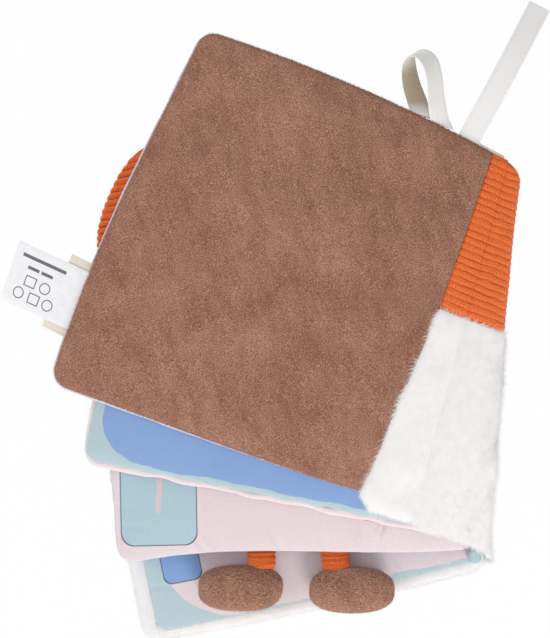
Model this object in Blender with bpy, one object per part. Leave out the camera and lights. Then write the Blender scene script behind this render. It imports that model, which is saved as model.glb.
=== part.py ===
import math

import bpy
import numpy as np
from mathutils import Vector

# All lengths are in metres and all angles in degrees. The front cover's width is along X and its height along Y.

# Clearances
seamGap = 0.0003
stackGap = 0.0005

# Cloth and filling
plushThickness = 0.0024
cottonThickness = 0.0008
filmThickness = 0.0003
leafSwell = 0.0025
coverSwell = 0.0020
swellReach = 0.024
cornerRadius = 0.0080
fillingInset = 0.005
ringInsets = {"rim": 0.0, "roll": 0.0015, "filling": fillingInset, "slope": 0.012, "flat": swellReach}

# Leaves: the place of each lower corner at the hinge, its turn, and how its edges differ from the plain leaf
leafWidth = 0.1655
leafHeight = 0.161
frontCover = {"x": 0.0, "y": 0.0, "turn": 0.0}
lowerLeaf = {"x": -0.00757, "y": 0.01054, "turn": -10.5, "hingeRise": 0.0043, "hingeTrim": 0.0075, "foreBulge": 0.0012}
upperLeaf = {"x": -0.02313, "y": 0.02617, "turn": -22.8, "hingeTrim": 0.0030, "foreBulge": 0.0005}
foreRise = 0.0083
stripWidth = 0.0189
hingeReach = 0.0050
hingeTaper = 0.0129
hingeRise = 0.0030
backCover = {
    "x": -0.04139,
    "y": 0.03935,
    "turn": -32.8,
    "foreHighX": 0.0076,
    "foreHighY": leafHeight + foreRise,
    "seamX": leafWidth - stripWidth,
    "seamLow": 0.0060,
    "hingeLowX": leafWidth + hingeReach,
    "hingeLowY": -0.0010,
    "hingeHighX": leafWidth - hingeTaper,
    "hingeHighY": leafHeight + hingeRise,
    "foreBulge": 0.0042,
    "topBulge": 0.0030,
}
lowerEdgeBulge = 0.0015
evenBulgeShares = [0.75, 1.0, 0.75]
backBulgeShares = [0.42, 1.0, 0.80]

# Seam between the ribbed knit above and the plush below
stripSeamShare = 0.5572
stripSeamSlope = 4.6
coverSeamShare = 0.58

# Spine
foldLean = 13.0
foldFootX = 0.0022
foldFootY = 0.0100
spineReachLow = -0.0060
spineReachHigh = -0.0033
gussetReach = 0.0008
leastReach = 0.0042
axisOutset = 0.0030

# Legs and feet
legWidth = 0.0146
legThickness = 0.0055
legHidden = 0.032
footLength = 0.0385
footWidth = 0.0205
footThickness = 0.0140
footDrop = 0.0125
leftLeg = {"x": -0.1057, "y": 0.0295, "lean": 10.0, "footSide": -0.0100, "footTurn": -11.5}
rightLeg = {"x": -0.0726, "y": 0.0212, "lean": 9.0, "footSide": 0.0068, "footTurn": -11.5}

# Ribbed ear on the front cover's top edge
earShare = 0.6677
earHalfWidth = 0.0420
earHeight = 0.0672
earKnitThickness = 0.0015
earSwell = 0.0016
earLift = 0.0004
earWidthShares = [0.93, 0.985, 1.0, 0.945, 0.845, 0.73, 0.595, 0.43, 0.22]
earHeightShares = [0.0, 0.16, 0.32, 0.47, 0.60, 0.71, 0.82, 0.915, 0.98]

# Ribbons on the back cover's top edge, with their places counted from its corner at the hinge
ribbonWidth = 0.0100
ribbonThickness = 0.0008
loopPlace = 0.0371
loopLength = 0.0243
loopAlongShares = [-0.24, -0.42, -0.57, -0.80, -0.89, -0.77, -0.58, -0.36, -0.18, 0.02, 0.24]
loopOutShares = [0.0, 0.19, 0.42, 0.70, 0.86, 1.0, 0.96, 0.79, 0.49, 0.17, 0.0]
loopRiseShares = [0.0, -0.07, -0.17, -0.24, -0.18, 0.02, 0.25, 0.35, 0.29, 0.11, 0.0]
loopTurns = [0, 15, 29, 24, 50, 62, 50, 46, 42, 22, 0]
loopTilts = [0, 20, 32, 44, 50, 45, 36, 44, 46, 34, 0]
strapPlace = 0.0195
strapLength = 0.0655
strapLean = 0.6
strapRise = 0.0040

# Care label and twill tag on the back cover's outer edge
labelPlace = 0.0248
labelWidth = 0.0273
labelLength = 0.0335
labelThickness = 0.0004
labelDrop = 0.0040
tagWidth = 0.0334
tagLength = 0.0120
tagThickness = 0.0008

# Steps of the meshes
arcSteps = 4
edgeSteps = 3
spineRows = 16
spineColumns = 14
legColumns = 12
ribbonRows = 28


def removeEverything():
    for thing in list(bpy.data.objects):
        bpy.data.objects.remove(thing, do_unlink=True)


def collectionNamed(name):
    collection = bpy.data.collections.new(name)
    bpy.context.scene.collection.children.link(collection)
    return collection


def linear(value):
    return value / 12.92 if value <= 0.04045 else ((value + 0.055) / 1.055) ** 2.4


def fabricMaterial(name, hexColour, roughness):
    material = bpy.data.materials.new(name)
    material.use_nodes = True
    surface = material.node_tree.nodes["Principled BSDF"]
    parts = [int(hexColour[i : i + 2], 16) / 255 for i in (0, 2, 4)]
    surface.inputs["Base Color"].default_value = (*[linear(part) for part in parts], 1.0)
    surface.inputs["Roughness"].default_value = roughness
    surface.inputs["Metallic"].default_value = 0.0
    return material


removeEverything()
bookCollection = collectionNamed("crinkle_cloth_book")
cutterCollection = collectionNamed("cutters")

whitePlush = fabricMaterial("white_plush", "F2F0EE", 0.95)
brownVelour = fabricMaterial("brown_velour", "A07060", 0.85)
orangeKnit = fabricMaterial("orange_rib_knit", "E9691F", 0.90)
tealCotton = fabricMaterial("teal_cotton", "A9C8C6", 0.80)
blueCotton = fabricMaterial("blue_cotton", "86AAE0", 0.80)
pinkCotton = fabricMaterial("pink_cotton", "E8D6DC", 0.80)
whiteWadding = fabricMaterial("white_wadding", "F4F4F2", 1.0)
clearFilm = fabricMaterial("crinkle_film", "E6E8EA", 0.30)
creamRibbon = fabricMaterial("cream_ribbon", "E9E5DF", 0.55)
whiteSatin = fabricMaterial("white_satin", "F6F6F6", 0.40)
beigeTwill = fabricMaterial("beige_twill", "D9CFC0", 0.80)


def addObject(name, points, faces, material, collection=None):
    mesh = bpy.data.meshes.new(name)
    mesh.from_pydata([tuple(point) for point in points], [], faces)
    mesh.validate()
    mesh.update()
    thing = bpy.data.objects.new(name, mesh)
    (collection or bookCollection).objects.link(thing)
    if material:
        mesh.materials.append(material)
    return thing


def smooth(thing):
    thing.data.shade_smooth()
    thing.data.set_sharp_from_angle(angle=math.radians(50))
    return thing


def toPart(points, place):
    # Turns points on a leaf into the part's own X and Y, about its lower corner at the hinge.
    points = np.asarray(points, float)
    angle = math.radians(place["turn"])
    turned = (points[:, :2] - np.array([leafWidth, 0])) @ np.array([[math.cos(angle), math.sin(angle)], [-math.sin(angle), math.cos(angle)]])
    flat = turned + np.array([place["x"], place["y"]])
    return np.column_stack([flat, points[:, 2:]])


def directionOf(degrees):
    return np.array([math.cos(math.radians(degrees)), math.sin(math.radians(degrees))])


def roundedOutline(corners, radii, bulges, bulgeShares):
    # Goes round the corners, each a circular arc, with points along each side that a bulge carries outward.
    outline = []
    count = len(corners)
    corners = [np.array(corner, float) for corner in corners]
    for i in range(count):
        before, here, after = corners[i - 1], corners[i], corners[(i + 1) % count]
        toBefore = (before - here) / np.linalg.norm(before - here)
        toAfter = (after - here) / np.linalg.norm(after - here)
        half = math.acos(float(np.clip(toBefore @ toAfter, -1, 1))) / 2
        reach = radii[i] / math.tan(half)
        start = here + toBefore * reach
        end = here + toAfter * reach
        if radii[i] > 0:
            middle = here + (toBefore + toAfter) / np.linalg.norm(toBefore + toAfter) * radii[i] / math.sin(half)
            first = start - middle
            last = end - middle
            sweep = math.pi - 2 * half
            for step in range(arcSteps + 1):
                share = step / arcSteps
                point = (math.sin((1 - share) * sweep) * first + math.sin(share * sweep) * last) / math.sin(sweep)
                outline.append(middle + point)
        else:
            outline.append(here)
        nextHere = after
        nextAfter = corners[(i + 2) % count]
        backward = (here - nextHere) / np.linalg.norm(here - nextHere)
        forward = (nextAfter - nextHere) / np.linalg.norm(nextAfter - nextHere)
        nextHalf = math.acos(float(np.clip(backward @ forward, -1, 1))) / 2
        nextStart = nextHere + backward * radii[(i + 1) % count] / math.tan(nextHalf)
        outward = np.array([toAfter[1], -toAfter[0]])
        for step in range(1, edgeSteps + 1):
            share = step / (edgeSteps + 1)
            point = end * (1 - share) + nextStart * share
            outline.append(point + outward * bulges[i] * bulgeShares[i][step - 1])
    return np.array(outline)


def swellShare(inset):
    share = min(inset / swellReach, 1.0)
    return math.sqrt(1 - (1 - share) ** 2)


def ringsInward(outline, insets):
    # Makes smaller and smaller copies of the outline round its middle.
    middle = (outline.min(axis=0) + outline.max(axis=0)) / 2
    halfSize = (outline.max(axis=0) - outline.min(axis=0)).min() / 2
    return [middle + (outline - middle) * (1 - inset / halfSize) for inset in insets]


def layer(name, outline, insets, lowAt, highAt, place, material):
    # A closed sheet of cloth or filling between a lower and an upper height, which both follow the swell.
    rings = ringsInward(outline, insets)
    count = len(outline)
    points = []
    for heightAt in (lowAt, highAt):
        for ring, inset in zip(rings, insets):
            points += [(x, y, heightAt(inset)) for x, y in ring]
    points = toPart(points, place)
    faces = []
    side = len(rings) * count
    for i in range(count):
        j = (i + 1) % count
        for k in range(len(rings) - 1):
            a, b = k * count, (k + 1) * count
            faces.append((a + j, a + i, b + i, b + j))
            faces.append((side + a + i, side + a + j, side + b + j, side + b + i))
        faces.append((i, j, side + j, side + i))
    last = (len(rings) - 1) * count
    faces.append(tuple(reversed(range(last, last + count))))
    faces.append(tuple(range(side + last, side + last + count)))
    return smooth(addObject(name, points, faces, material))


def leafHeights(base, swellLow, swellHigh, lowCloth, highCloth):
    # The heights of a leaf's four layers: lower cloth, film, wadding and upper cloth.
    rim = base + swellLow

    def lowBottom(inset):
        return rim - swellLow * swellShare(inset)

    def lowTop(inset):
        return lowBottom(inset) + lowCloth

    def filmBottom(inset):
        return lowTop(inset) + seamGap

    def filmTop(inset):
        return filmBottom(inset) + filmThickness

    def waddingBottom(inset):
        return filmTop(inset) + seamGap

    def highBottom(inset):
        return rim + lowCloth + seamGap + swellHigh * swellShare(inset)

    def waddingTop(inset):
        return highBottom(inset) - seamGap

    def highTop(inset):
        return highBottom(inset) + highCloth

    return {
        "low": (lowBottom, lowTop),
        "film": (filmBottom, filmTop),
        "wadding": (waddingBottom, waddingTop),
        "high": (highBottom, highTop),
        "top": highTop(swellReach),
        "rimLow": rim,
        "rimHigh": highTop(0.0),
    }


frontHeights = leafHeights(0.0, coverSwell, leafSwell, plushThickness, cottonThickness)
legBottom = frontHeights["top"] + seamGap
lowerLeafBottom = legBottom + legThickness + stackGap
lowerHeights = leafHeights(lowerLeafBottom, leafSwell, leafSwell, cottonThickness, cottonThickness)
upperHeights = leafHeights(lowerHeights["top"] + stackGap, leafSwell, leafSwell, cottonThickness, cottonThickness)
backHeights = leafHeights(upperHeights["top"] + stackGap, leafSwell, leafSwell, cottonThickness, plushThickness)

frontOutline = roundedOutline(
    [(0, 0), (leafWidth, 0), (leafWidth, leafHeight), (0, leafHeight)],
    [cornerRadius] * 4,
    [lowerEdgeBulge, 0, 0, 0],
    [evenBulgeShares] * 4,
)
lowerOutline = roundedOutline(
    [
        (0, 0),
        (leafWidth - lowerLeaf["hingeTrim"], lowerLeaf["hingeRise"]),
        (leafWidth, leafHeight),
        (0, leafHeight),
    ],
    [cornerRadius] * 4,
    [0, 0, 0, lowerLeaf["foreBulge"]],
    [evenBulgeShares] * 4,
)
upperOutline = roundedOutline(
    [(0, 0), (leafWidth, 0), (leafWidth - upperLeaf["hingeTrim"], leafHeight), (0, leafHeight)],
    [cornerRadius] * 4,
    [0, 0, 0, upperLeaf["foreBulge"]],
    [evenBulgeShares] * 4,
)
backOutline = roundedOutline(
    [
        (0, 0),
        (backCover["seamX"], backCover["seamLow"]),
        (backCover["hingeLowX"], backCover["hingeLowY"]),
        (backCover["hingeHighX"], backCover["hingeHighY"]),
        (backCover["foreHighX"], backCover["foreHighY"]),
    ],
    [cornerRadius, 0, cornerRadius / 2, cornerRadius / 2, cornerRadius],
    [0, 0, 0, backCover["topBulge"], backCover["foreBulge"]],
    [evenBulgeShares] * 4 + [backBulgeShares],
)
allInsets = list(ringInsets.values())
fillingInsets = [inset for inset in allInsets if inset >= fillingInset]


def makeFilling(body, outline, heights, place):
    layer(body + "_crinkle_film", outline, fillingInsets, *heights["film"], place, clearFilm)
    layer(body + "_wadding", outline, fillingInsets, *heights["wadding"], place, whiteWadding)


def prism(name, corners, low, high):
    # A cutter with upright sides, hidden in renders.
    count = len(corners)
    points = [(x, y, low) for x, y in corners] + [(x, y, high) for x, y in corners]
    faces = [tuple(reversed(range(count))), tuple(range(count, 2 * count))]
    faces += [(i, (i + 1) % count, count + (i + 1) % count, count + i) for i in range(count)]
    cutter = addObject(name, points, faces, None, cutterCollection)
    cutter.hide_render = True
    cutter.display_type = "WIRE"
    return cutter


def keepInside(thing, cutter):
    modifier = thing.modifiers.new("keep_inside", "BOOLEAN")
    modifier.operation = "INTERSECT"
    modifier.solver = "EXACT"
    modifier.object = cutter
    return thing


def acrossLine(name, place, start, end, depth, high):
    # The cutter on the left of a line on a leaf, as seen along the line.
    start, end = np.array(start, float), np.array(end, float)
    along = (end - start) / np.linalg.norm(end - start)
    left = np.array([-along[1], along[0]])
    start = start - along * depth + left * seamGap / 2
    end = end + along * depth + left * seamGap / 2
    corners = toPart([(*start, 0), (*end, 0), (*(end + left * depth), 0), (*(start + left * depth), 0)], place)
    return prism(name, [(x, y) for x, y, _ in corners], -high, 2 * high)


def makeFrontCover():
    stackHeight = backHeights["top"]
    seam = leafHeight * coverSeamShare
    left, right = (0, seam), (leafWidth, seam)
    plush = layer(
        "front_cover_plush_panel", frontOutline, allInsets, *frontHeights["low"], frontCover, whitePlush
    )
    keepInside(plush, acrossLine("front_plush_cutter", frontCover, right, left, leafWidth, stackHeight))
    knit = layer("front_cover_knit_panel", frontOutline, allInsets, *frontHeights["low"], frontCover, orangeKnit)
    keepInside(knit, acrossLine("front_knit_cutter", frontCover, left, right, leafWidth, stackHeight))
    makeFilling("front_cover", frontOutline, frontHeights, frontCover)
    layer("front_cover_lining", frontOutline, allInsets, *frontHeights["high"], frontCover, tealCotton)


def makeInnerLeaves():
    layer("lower_leaf_underside_page", lowerOutline, allInsets, *lowerHeights["low"], lowerLeaf, blueCotton)
    makeFilling("lower_leaf", lowerOutline, lowerHeights, lowerLeaf)
    layer("lower_leaf_upper_page", lowerOutline, allInsets, *lowerHeights["high"], lowerLeaf, pinkCotton)
    layer("upper_leaf_underside_page", upperOutline, allInsets, *upperHeights["low"], upperLeaf, pinkCotton)
    makeFilling("upper_leaf", upperOutline, upperHeights, upperLeaf)
    layer("upper_leaf_upper_page", upperOutline, allInsets, *upperHeights["high"], upperLeaf, blueCotton)


def stripSeamLine():
    # The line on the back cover between the knit strip and the plush strip.
    start = np.array([backCover["seamX"], leafHeight * stripSeamShare])
    return start, start + directionOf(stripSeamSlope) * (backCover["hingeLowX"] - backCover["seamX"])


def makeBackCover():
    stackHeight = backHeights["top"]
    low, high = (backCover["seamX"], 0), (backCover["seamX"], backCover["foreHighY"])
    start, end = stripSeamLine()
    layer("back_cover_lining", backOutline, allInsets, *backHeights["low"], backCover, tealCotton)
    makeFilling("back_cover", backOutline, backHeights, backCover)
    panel = layer("back_cover_velour_panel", backOutline, allInsets, *backHeights["high"], backCover, brownVelour)
    keepInside(panel, acrossLine("velour_cutter", backCover, low, high, backCover["foreHighY"], stackHeight))
    besideSeam = acrossLine("strip_cutter", backCover, high, low, backCover["foreHighY"], stackHeight)
    knit = layer("back_cover_knit_strip", backOutline, allInsets, *backHeights["high"], backCover, orangeKnit)
    keepInside(knit, besideSeam)
    keepInside(knit, acrossLine("knit_strip_cutter", backCover, start, end, backCover["foreHighY"], stackHeight))
    plush = layer("back_cover_plush_strip", backOutline, allInsets, *backHeights["high"], backCover, whitePlush)
    keepInside(plush, besideSeam)
    keepInside(plush, acrossLine("plush_strip_cutter", backCover, end, start, backCover["foreHighY"], stackHeight))


def edgeLine(low, high, radius, place, share):
    # A point at a share of the way up a leaf's hinge edge, between its rounded corners and just outside it.
    low, high = np.array(low, float), np.array(high, float)
    along = (high - low) / np.linalg.norm(high - low)
    outward = np.array([along[1], -along[0]])
    flat = (low + along * radius) * (1 - share) + (high - along * radius) * share + outward * seamGap
    return toPart([(*flat, 0)], place)[0, :2]


foldAlong = directionOf(90 - foldLean)
foldOutward = directionOf(-foldLean)


def bentGrid(lowerEdge, upperEdge, lowerHeight, upperHeight, reachAt, least, shares):
    # Rows of points round the fold: each row leaves the upper leaf level, turns, and comes level into the lower leaf.
    grid = []
    foot = np.array([foldFootX, foldFootY]) @ foldOutward
    for share in shares:
        start, end = upperEdge(share), lowerEdge(share)
        reaches = np.array([start @ foldOutward - foot, end @ foldOutward - foot])
        handle = (8 * reachAt(share) - reaches.sum()) / 6
        firstHandle = start + foldOutward * max(handle - reaches[0], least)
        lastHandle = end + foldOutward * max(handle - reaches[1], least)
        row = []
        for step in range(spineColumns + 1):
            u = step / spineColumns
            weights = [(1 - u) ** 3, 3 * u * (1 - u) ** 2, 3 * u * u * (1 - u), u**3]
            flat = sum(w * p for w, p in zip(weights, (start, firstHandle, lastHandle, end)))
            height = (weights[0] + weights[1]) * upperHeight + (weights[2] + weights[3]) * lowerHeight
            row.append((*flat, height))
        grid.append(row)
    return np.array(grid)


def outwardNormals(grid):
    alongRow = np.gradient(grid, axis=1)
    acrossRows = np.gradient(grid, axis=0)
    normals = np.cross(acrossRows, alongRow)
    normals[:, 0] = (0, 0, -1)
    normals[:, -1] = (0, 0, 1)
    normals = -normals / np.linalg.norm(normals, axis=2, keepdims=True)
    return normals


def sheetSolid(name, lowGrid, highGrid, material):
    # A closed solid between two grids of the same size.
    rows, columns = lowGrid.shape[:2]
    points = list(lowGrid.reshape(-1, 3)) + list(highGrid.reshape(-1, 3))
    high = rows * columns
    faces = []
    for i in range(rows - 1):
        for j in range(columns - 1):
            a, b, c, d = i * columns + j, i * columns + j + 1, (i + 1) * columns + j + 1, (i + 1) * columns + j
            faces.append((a, b, c, d))
            faces.append((high + d, high + c, high + b, high + a))
    for j in range(columns - 1):
        a, b = j, j + 1
        c, d = (rows - 1) * columns + j, (rows - 1) * columns + j + 1
        faces.append((b, a, high + a, high + b))
        faces.append((c, d, high + d, high + c))
    for i in range(rows - 1):
        a, b = i * columns, (i + 1) * columns
        c, d = a + columns - 1, b + columns - 1
        faces.append((a, b, high + b, high + a))
        faces.append((d, c, high + c, high + d))
    thing = addObject(name, points, faces, material)
    if volumeOf(points, faces) < 0:
        thing.data.flip_normals()
    return smooth(thing)


def volumeOf(points, faces):
    total = 0.0
    for face in faces:
        first = points[face[0]]
        for second, third in zip(face[1:-1], face[2:]):
            total += np.dot(first, np.cross(points[second], points[third])) / 6
    return total


def frontHingeEdge(share):
    return edgeLine((leafWidth, 0), (leafWidth, leafHeight), cornerRadius, frontCover, share)


def lowerHingeEdge(share):
    low = (leafWidth - lowerLeaf["hingeTrim"], lowerLeaf["hingeRise"])
    return edgeLine(low, (leafWidth, leafHeight), cornerRadius, lowerLeaf, share)


def upperHingeEdge(share):
    high = (leafWidth - upperLeaf["hingeTrim"], leafHeight)
    return edgeLine((leafWidth, 0), high, cornerRadius, upperLeaf, share)


def backHingeEdge(share):
    low = (backCover["hingeLowX"], backCover["hingeLowY"])
    high = (backCover["hingeHighX"], backCover["hingeHighY"])
    return edgeLine(low, high, cornerRadius / 2, backCover, share)


def makeSpine():
    def reachAt(share):
        return spineReachLow * (1 - share) + spineReachHigh * share

    half = spineRows // 2
    seamShare, gapShare = coverSeamShare, seamGap / leafHeight
    plushShares = np.linspace(0.0, seamShare - gapShare, half)
    knitShares = np.linspace(seamShare + gapShare, 1.0, half)
    shares = np.concatenate([plushShares, knitShares])
    lowHeight, highHeight = frontHeights["rimHigh"], backHeights["rimLow"]
    grid = bentGrid(frontHingeEdge, backHingeEdge, lowHeight, highHeight, reachAt, leastReach, shares)
    normals = outwardNormals(grid)
    inner = grid + normals * (cottonThickness + seamGap)
    outer = inner + normals * plushThickness
    sheetSolid("spine_lining", grid, grid + normals * cottonThickness, tealCotton)
    sheetSolid("spine_plush_panel", inner[:half], outer[:half], whitePlush)
    sheetSolid("spine_knit_panel", inner[half:], outer[half:], orangeKnit)


def makeInnerFold():
    def reachAt(share):
        foot = np.array([foldFootX, foldFootY]) @ foldOutward
        reaches = [edge(share) @ foldOutward - foot for edge in (lowerHingeEdge, upperHingeEdge)]
        return max(reaches) + gussetReach

    shares = np.linspace(0.0, 1.0, spineRows + 1)
    grid = bentGrid(
        lowerHingeEdge,
        upperHingeEdge,
        lowerHeights["rimHigh"] - seamGap,
        upperHeights["rimLow"] + seamGap,
        reachAt,
        gussetReach,
        shares,
    )
    sheetSolid("inner_fold_strip", grid, grid + outwardNormals(grid) * cottonThickness, pinkCotton)


def tube(name, rings, material):
    # A closed solid through rings of points, with a point at each end.
    count = len(rings[0])
    points = [point for ring in rings for point in ring]
    points += [np.mean(rings[0], axis=0), np.mean(rings[-1], axis=0)]
    faces = []
    for i in range(count):
        j = (i + 1) % count
        for k in range(len(rings) - 1):
            faces.append((k * count + i, k * count + j, (k + 1) * count + j, (k + 1) * count + i))
        last = (len(rings) - 1) * count
        faces.append((len(points) - 2, j, i))
        faces.append((len(points) - 1, last + i, last + j))
    thing = addObject(name, points, faces, material)
    if volumeOf(points, faces) < 0:
        thing.data.flip_normals()
    return smooth(thing)


legTable = {
    "lengthShares": [0.0, 0.06, 0.3, 0.6, 0.94, 1.0],
    "widthShares": [0.80, 0.94, 1.0, 0.94, 0.80, 0.62],
    "thicknessShares": [0.45, 0.80, 1.0, 1.0, 0.85, 0.60],
}


def legPlace(leg):
    # The leg's lower end is under the foot's upper side; the leg runs up from it beneath the lower leaf.
    foot = np.array([leg["x"], leg["y"]])
    up = directionOf(90 - leg["lean"])
    return foot, up


def makeLeg(side, leg):
    foot, up = legPlace(leg)
    across = np.array([up[1], -up[0]])
    middleHeight = legBottom + legThickness / 2
    rings = []
    for share, width, thickness in zip(*legTable.values()):
        centre = foot + up * legHidden * (1 - share)
        ring = []
        for step in range(legColumns):
            angle = 2 * math.pi * step / legColumns
            flat = centre + across * math.cos(angle) * legWidth / 2 * width
            lower = middleHeight - legThickness / 2 * (1 - thickness)
            ring.append((*flat, lower + math.sin(angle) * legThickness / 2 * thickness))
        rings.append(np.array(ring))
    tube(side + "_leg", rings, orangeKnit)


def makeFoot(side, leg):
    # A stuffed oval, flattened beneath.
    foot, up = legPlace(leg)
    across = np.array([up[1], -up[0]])
    centre = foot - up * (footDrop + seamGap) + across * leg["footSide"]
    thing = uvSphere(side + "_foot", brownVelour)
    turn = math.radians(leg["footTurn"])
    middle = legBottom + footThickness / 2
    for vertex in thing.data.vertices:
        x, y, z = vertex.co
        # Flattens the round end faces a little, and fills out the oval.
        fullness = 1 + 0.10 * (1 - abs(x)) * (1 - z * z)
        x, y, z = x * footLength / 2, y * footWidth / 2 * fullness, z * footThickness / 2
        flatX = centre[0] + x * math.cos(turn) - y * math.sin(turn)
        flatY = centre[1] + x * math.sin(turn) + y * math.cos(turn)
        vertex.co = Vector((flatX, flatY, middle + z))
    return smooth(thing)


def uvSphere(name, material):
    bpy.ops.mesh.primitive_uv_sphere_add(segments=20, ring_count=10, radius=1.0)
    thing = bpy.context.active_object
    thing.name = name
    for collection in list(thing.users_collection):
        collection.objects.unlink(thing)
    bookCollection.objects.link(thing)
    thing.data.materials.append(material)
    return thing


def makeEar():
    # A padded lobe of two knit faces over wadding, sewn to the front cover's top edge.
    rightSide = [(earHalfWidth * w, earHeight * h) for w, h in zip(earWidthShares, earHeightShares)]
    leftSide = [(-x, y) for x, y in reversed(rightSide)]
    outline = np.array(rightSide + [(0, earHeight)] + leftSide)
    place = {"x": leafWidth * (1 - earShare), "y": leafHeight + seamGap, "turn": 0.0}
    swellHeight = earSwell

    def swellAt(inset):
        return swellShare(inset * swellReach / (earHalfWidth / 2))

    base = earLift + swellHeight

    def frontBottom(inset):
        return base - swellHeight * swellAt(inset)

    def frontTop(inset):
        return frontBottom(inset) + earKnitThickness

    def backBottom(inset):
        return base + earKnitThickness + seamGap + swellHeight * swellAt(inset)

    def backTop(inset):
        return backBottom(inset) + earKnitThickness

    insets = [inset * earHalfWidth / 2 / swellReach for inset in allInsets]
    filling = insets[-3:]
    layer("ear_front_knit", outline, insets, frontBottom, frontTop, place, orangeKnit)
    layer(
        "ear_wadding",
        outline,
        filling,
        lambda inset: frontTop(inset) + seamGap,
        lambda inset: backBottom(inset) - seamGap,
        place,
        whiteWadding,
    )
    layer("ear_back_knit", outline, insets, backBottom, backTop, place, orangeKnit)


topLength = math.dist(
    (backCover["hingeHighX"], backCover["hingeHighY"]), (backCover["foreHighX"], backCover["foreHighY"])
)


def edgePoint(start, end, startRadius, endRadius, bulge, shares, along, outward):
    # A point on one bulging side of the back cover, a distance along it and outside it.
    start, end = np.array(start, float), np.array(end, float)
    length = np.linalg.norm(end - start)
    direction = (end - start) / length
    normal = np.array([direction[1], -direction[0]])
    share = (along - startRadius) / (length - startRadius - endRadius)
    steps = [step / (edgeSteps + 1) for step in range(edgeSteps + 2)]
    swell = bulge * float(np.interp(share, steps, [0, *shares, 0]))
    flat = start + direction * along + normal * (swell + outward)
    return toPart([(*flat, 0)], backCover)[0, :2]


def topEdgePoint(along, outward):
    # Counted from the back cover's upper outer corner.
    start = (backCover["hingeHighX"], backCover["hingeHighY"])
    end = (backCover["foreHighX"], backCover["foreHighY"])
    length = math.dist(start, end)
    bulge = backCover["topBulge"]
    return edgePoint(start, end, cornerRadius / 2, cornerRadius, bulge, evenBulgeShares, length - along, outward)


def foreEdgePoint(along, outward):
    # Counted from the back cover's lower outer corner.
    start, end = (backCover["foreHighX"], backCover["foreHighY"]), (0, 0)
    length = math.dist(start, end)
    bulge = backCover["foreBulge"]
    return edgePoint(start, end, cornerRadius, cornerRadius, bulge, backBulgeShares, length - along, outward)


def edgeFrame(pointAt, place, width):
    # The middle of a length of an edge, just outside its bulge, with its directions along and outward.
    samples = np.array([pointAt(place + width * step / arcSteps**2, 0) for step in range(arcSteps**2 + 1)])
    along = (samples[-1] - samples[0]) / np.linalg.norm(samples[-1] - samples[0])
    outward = np.array([-along[1], along[0]])
    middle = (samples[0] + samples[-1]) / 2
    return middle + outward * ((samples - middle) @ outward).max(), along, outward


backRimMiddle = (backHeights["rimLow"] + backHeights["rimHigh"]) / 2


def ribbonSolid(name, centres, widths, size, thickness, material):
    # A flat ribbon through centres, with its width along the given directions.
    centres, widths = np.array(centres), np.array(widths)
    widths = widths / np.linalg.norm(widths, axis=1, keepdims=True)
    along = np.gradient(centres, axis=0)
    normals = np.cross(along, widths)
    normals = normals / np.linalg.norm(normals, axis=1, keepdims=True)
    sides = [widths * size * share for share in (-0.5, -0.25, 0.0, 0.25, 0.5)]
    low = np.stack([centres + side - normals * thickness / 2 for side in sides], axis=1)
    high = np.stack([centres + side + normals * thickness / 2 for side in sides], axis=1)
    return sheetSolid(name, low, high, material)


def smoothThrough(values, count):
    # Evenly many values on a smooth curve that passes through the given ones.
    values = np.array(values, float)
    padded = np.concatenate([[2 * values[0] - values[1]], values, [2 * values[-1] - values[-2]]])
    result = []
    for place in np.linspace(0, len(values) - 1, count):
        i = min(int(place), len(values) - 2)
        t = place - i
        a, b, c, d = padded[i : i + 4]
        result.append(b + t * (c - a) / 2 + t * t * (2 * a - 5 * b + 4 * c - d) / 2 + t**3 * (3 * b - 3 * c + d - a) / 2)
    return np.array(result)


def makeHangingLoop():
    # The ribbon leaves the seam flat, rises and turns over to the side, and comes back down over itself.
    origin, along, outward = edgeFrame(topEdgePoint, topLength - loopPlace - ribbonWidth, 2 * ribbonWidth)
    origin = origin + outward * seamGap
    count = ribbonRows + 1
    sideways = smoothThrough(loopAlongShares, count) * loopLength
    away = smoothThrough(loopOutShares, count) * loopLength
    rise = smoothThrough(loopRiseShares, count) * loopLength
    turns = np.radians(smoothThrough(loopTurns, count))
    tilts = np.radians(smoothThrough(loopTilts, count))
    path = origin + sideways[:, None] * along + away[:, None] * outward
    across = np.cos(turns)[:, None] * along + np.sin(turns)[:, None] * outward
    widths = np.column_stack([across * np.cos(tilts)[:, None], -np.sin(tilts)])
    centres = np.column_stack([path, backRimMiddle + rise])
    ribbonSolid("hanging_loop", centres, widths, ribbonWidth - 2 * seamGap, ribbonThickness, creamRibbon)


def makeStrap():
    origin, along, outward = edgeFrame(topEdgePoint, topLength - strapPlace - ribbonWidth / 2, ribbonWidth)
    origin = origin + outward * seamGap
    lean = math.radians(strapLean)
    centres, widths = [], []
    for row in range(ribbonRows // 2 + 1):
        share = row / (ribbonRows // 2)
        bend = min(1.0, share * 5)
        sideways = math.sin(lean) * share * bend
        flat = origin + (outward * math.cos(lean) * share - along * sideways) * strapLength
        centres.append((*flat, backRimMiddle + strapRise * math.sin(math.pi * share)))
        turn = lean * bend
        widths.append((*(along * math.cos(turn) + outward * math.sin(turn)), 0.0))
    ribbonSolid("strap", centres, widths, ribbonWidth, ribbonThickness, creamRibbon)


def flatFlap(name, place, width, length, thickness, level, drop, material):
    middle, along, outward = edgeFrame(foreEdgePoint, place, width)
    centres, widths = [], []
    rows = 8
    for row in range(rows + 1):
        share = row / rows
        flat = middle + outward * (seamGap + length * share)
        centres.append((*flat, level - drop * share**1.5))
        widths.append((*along, 0.0))
    return ribbonSolid(name, centres, widths, width, thickness, material)


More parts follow.
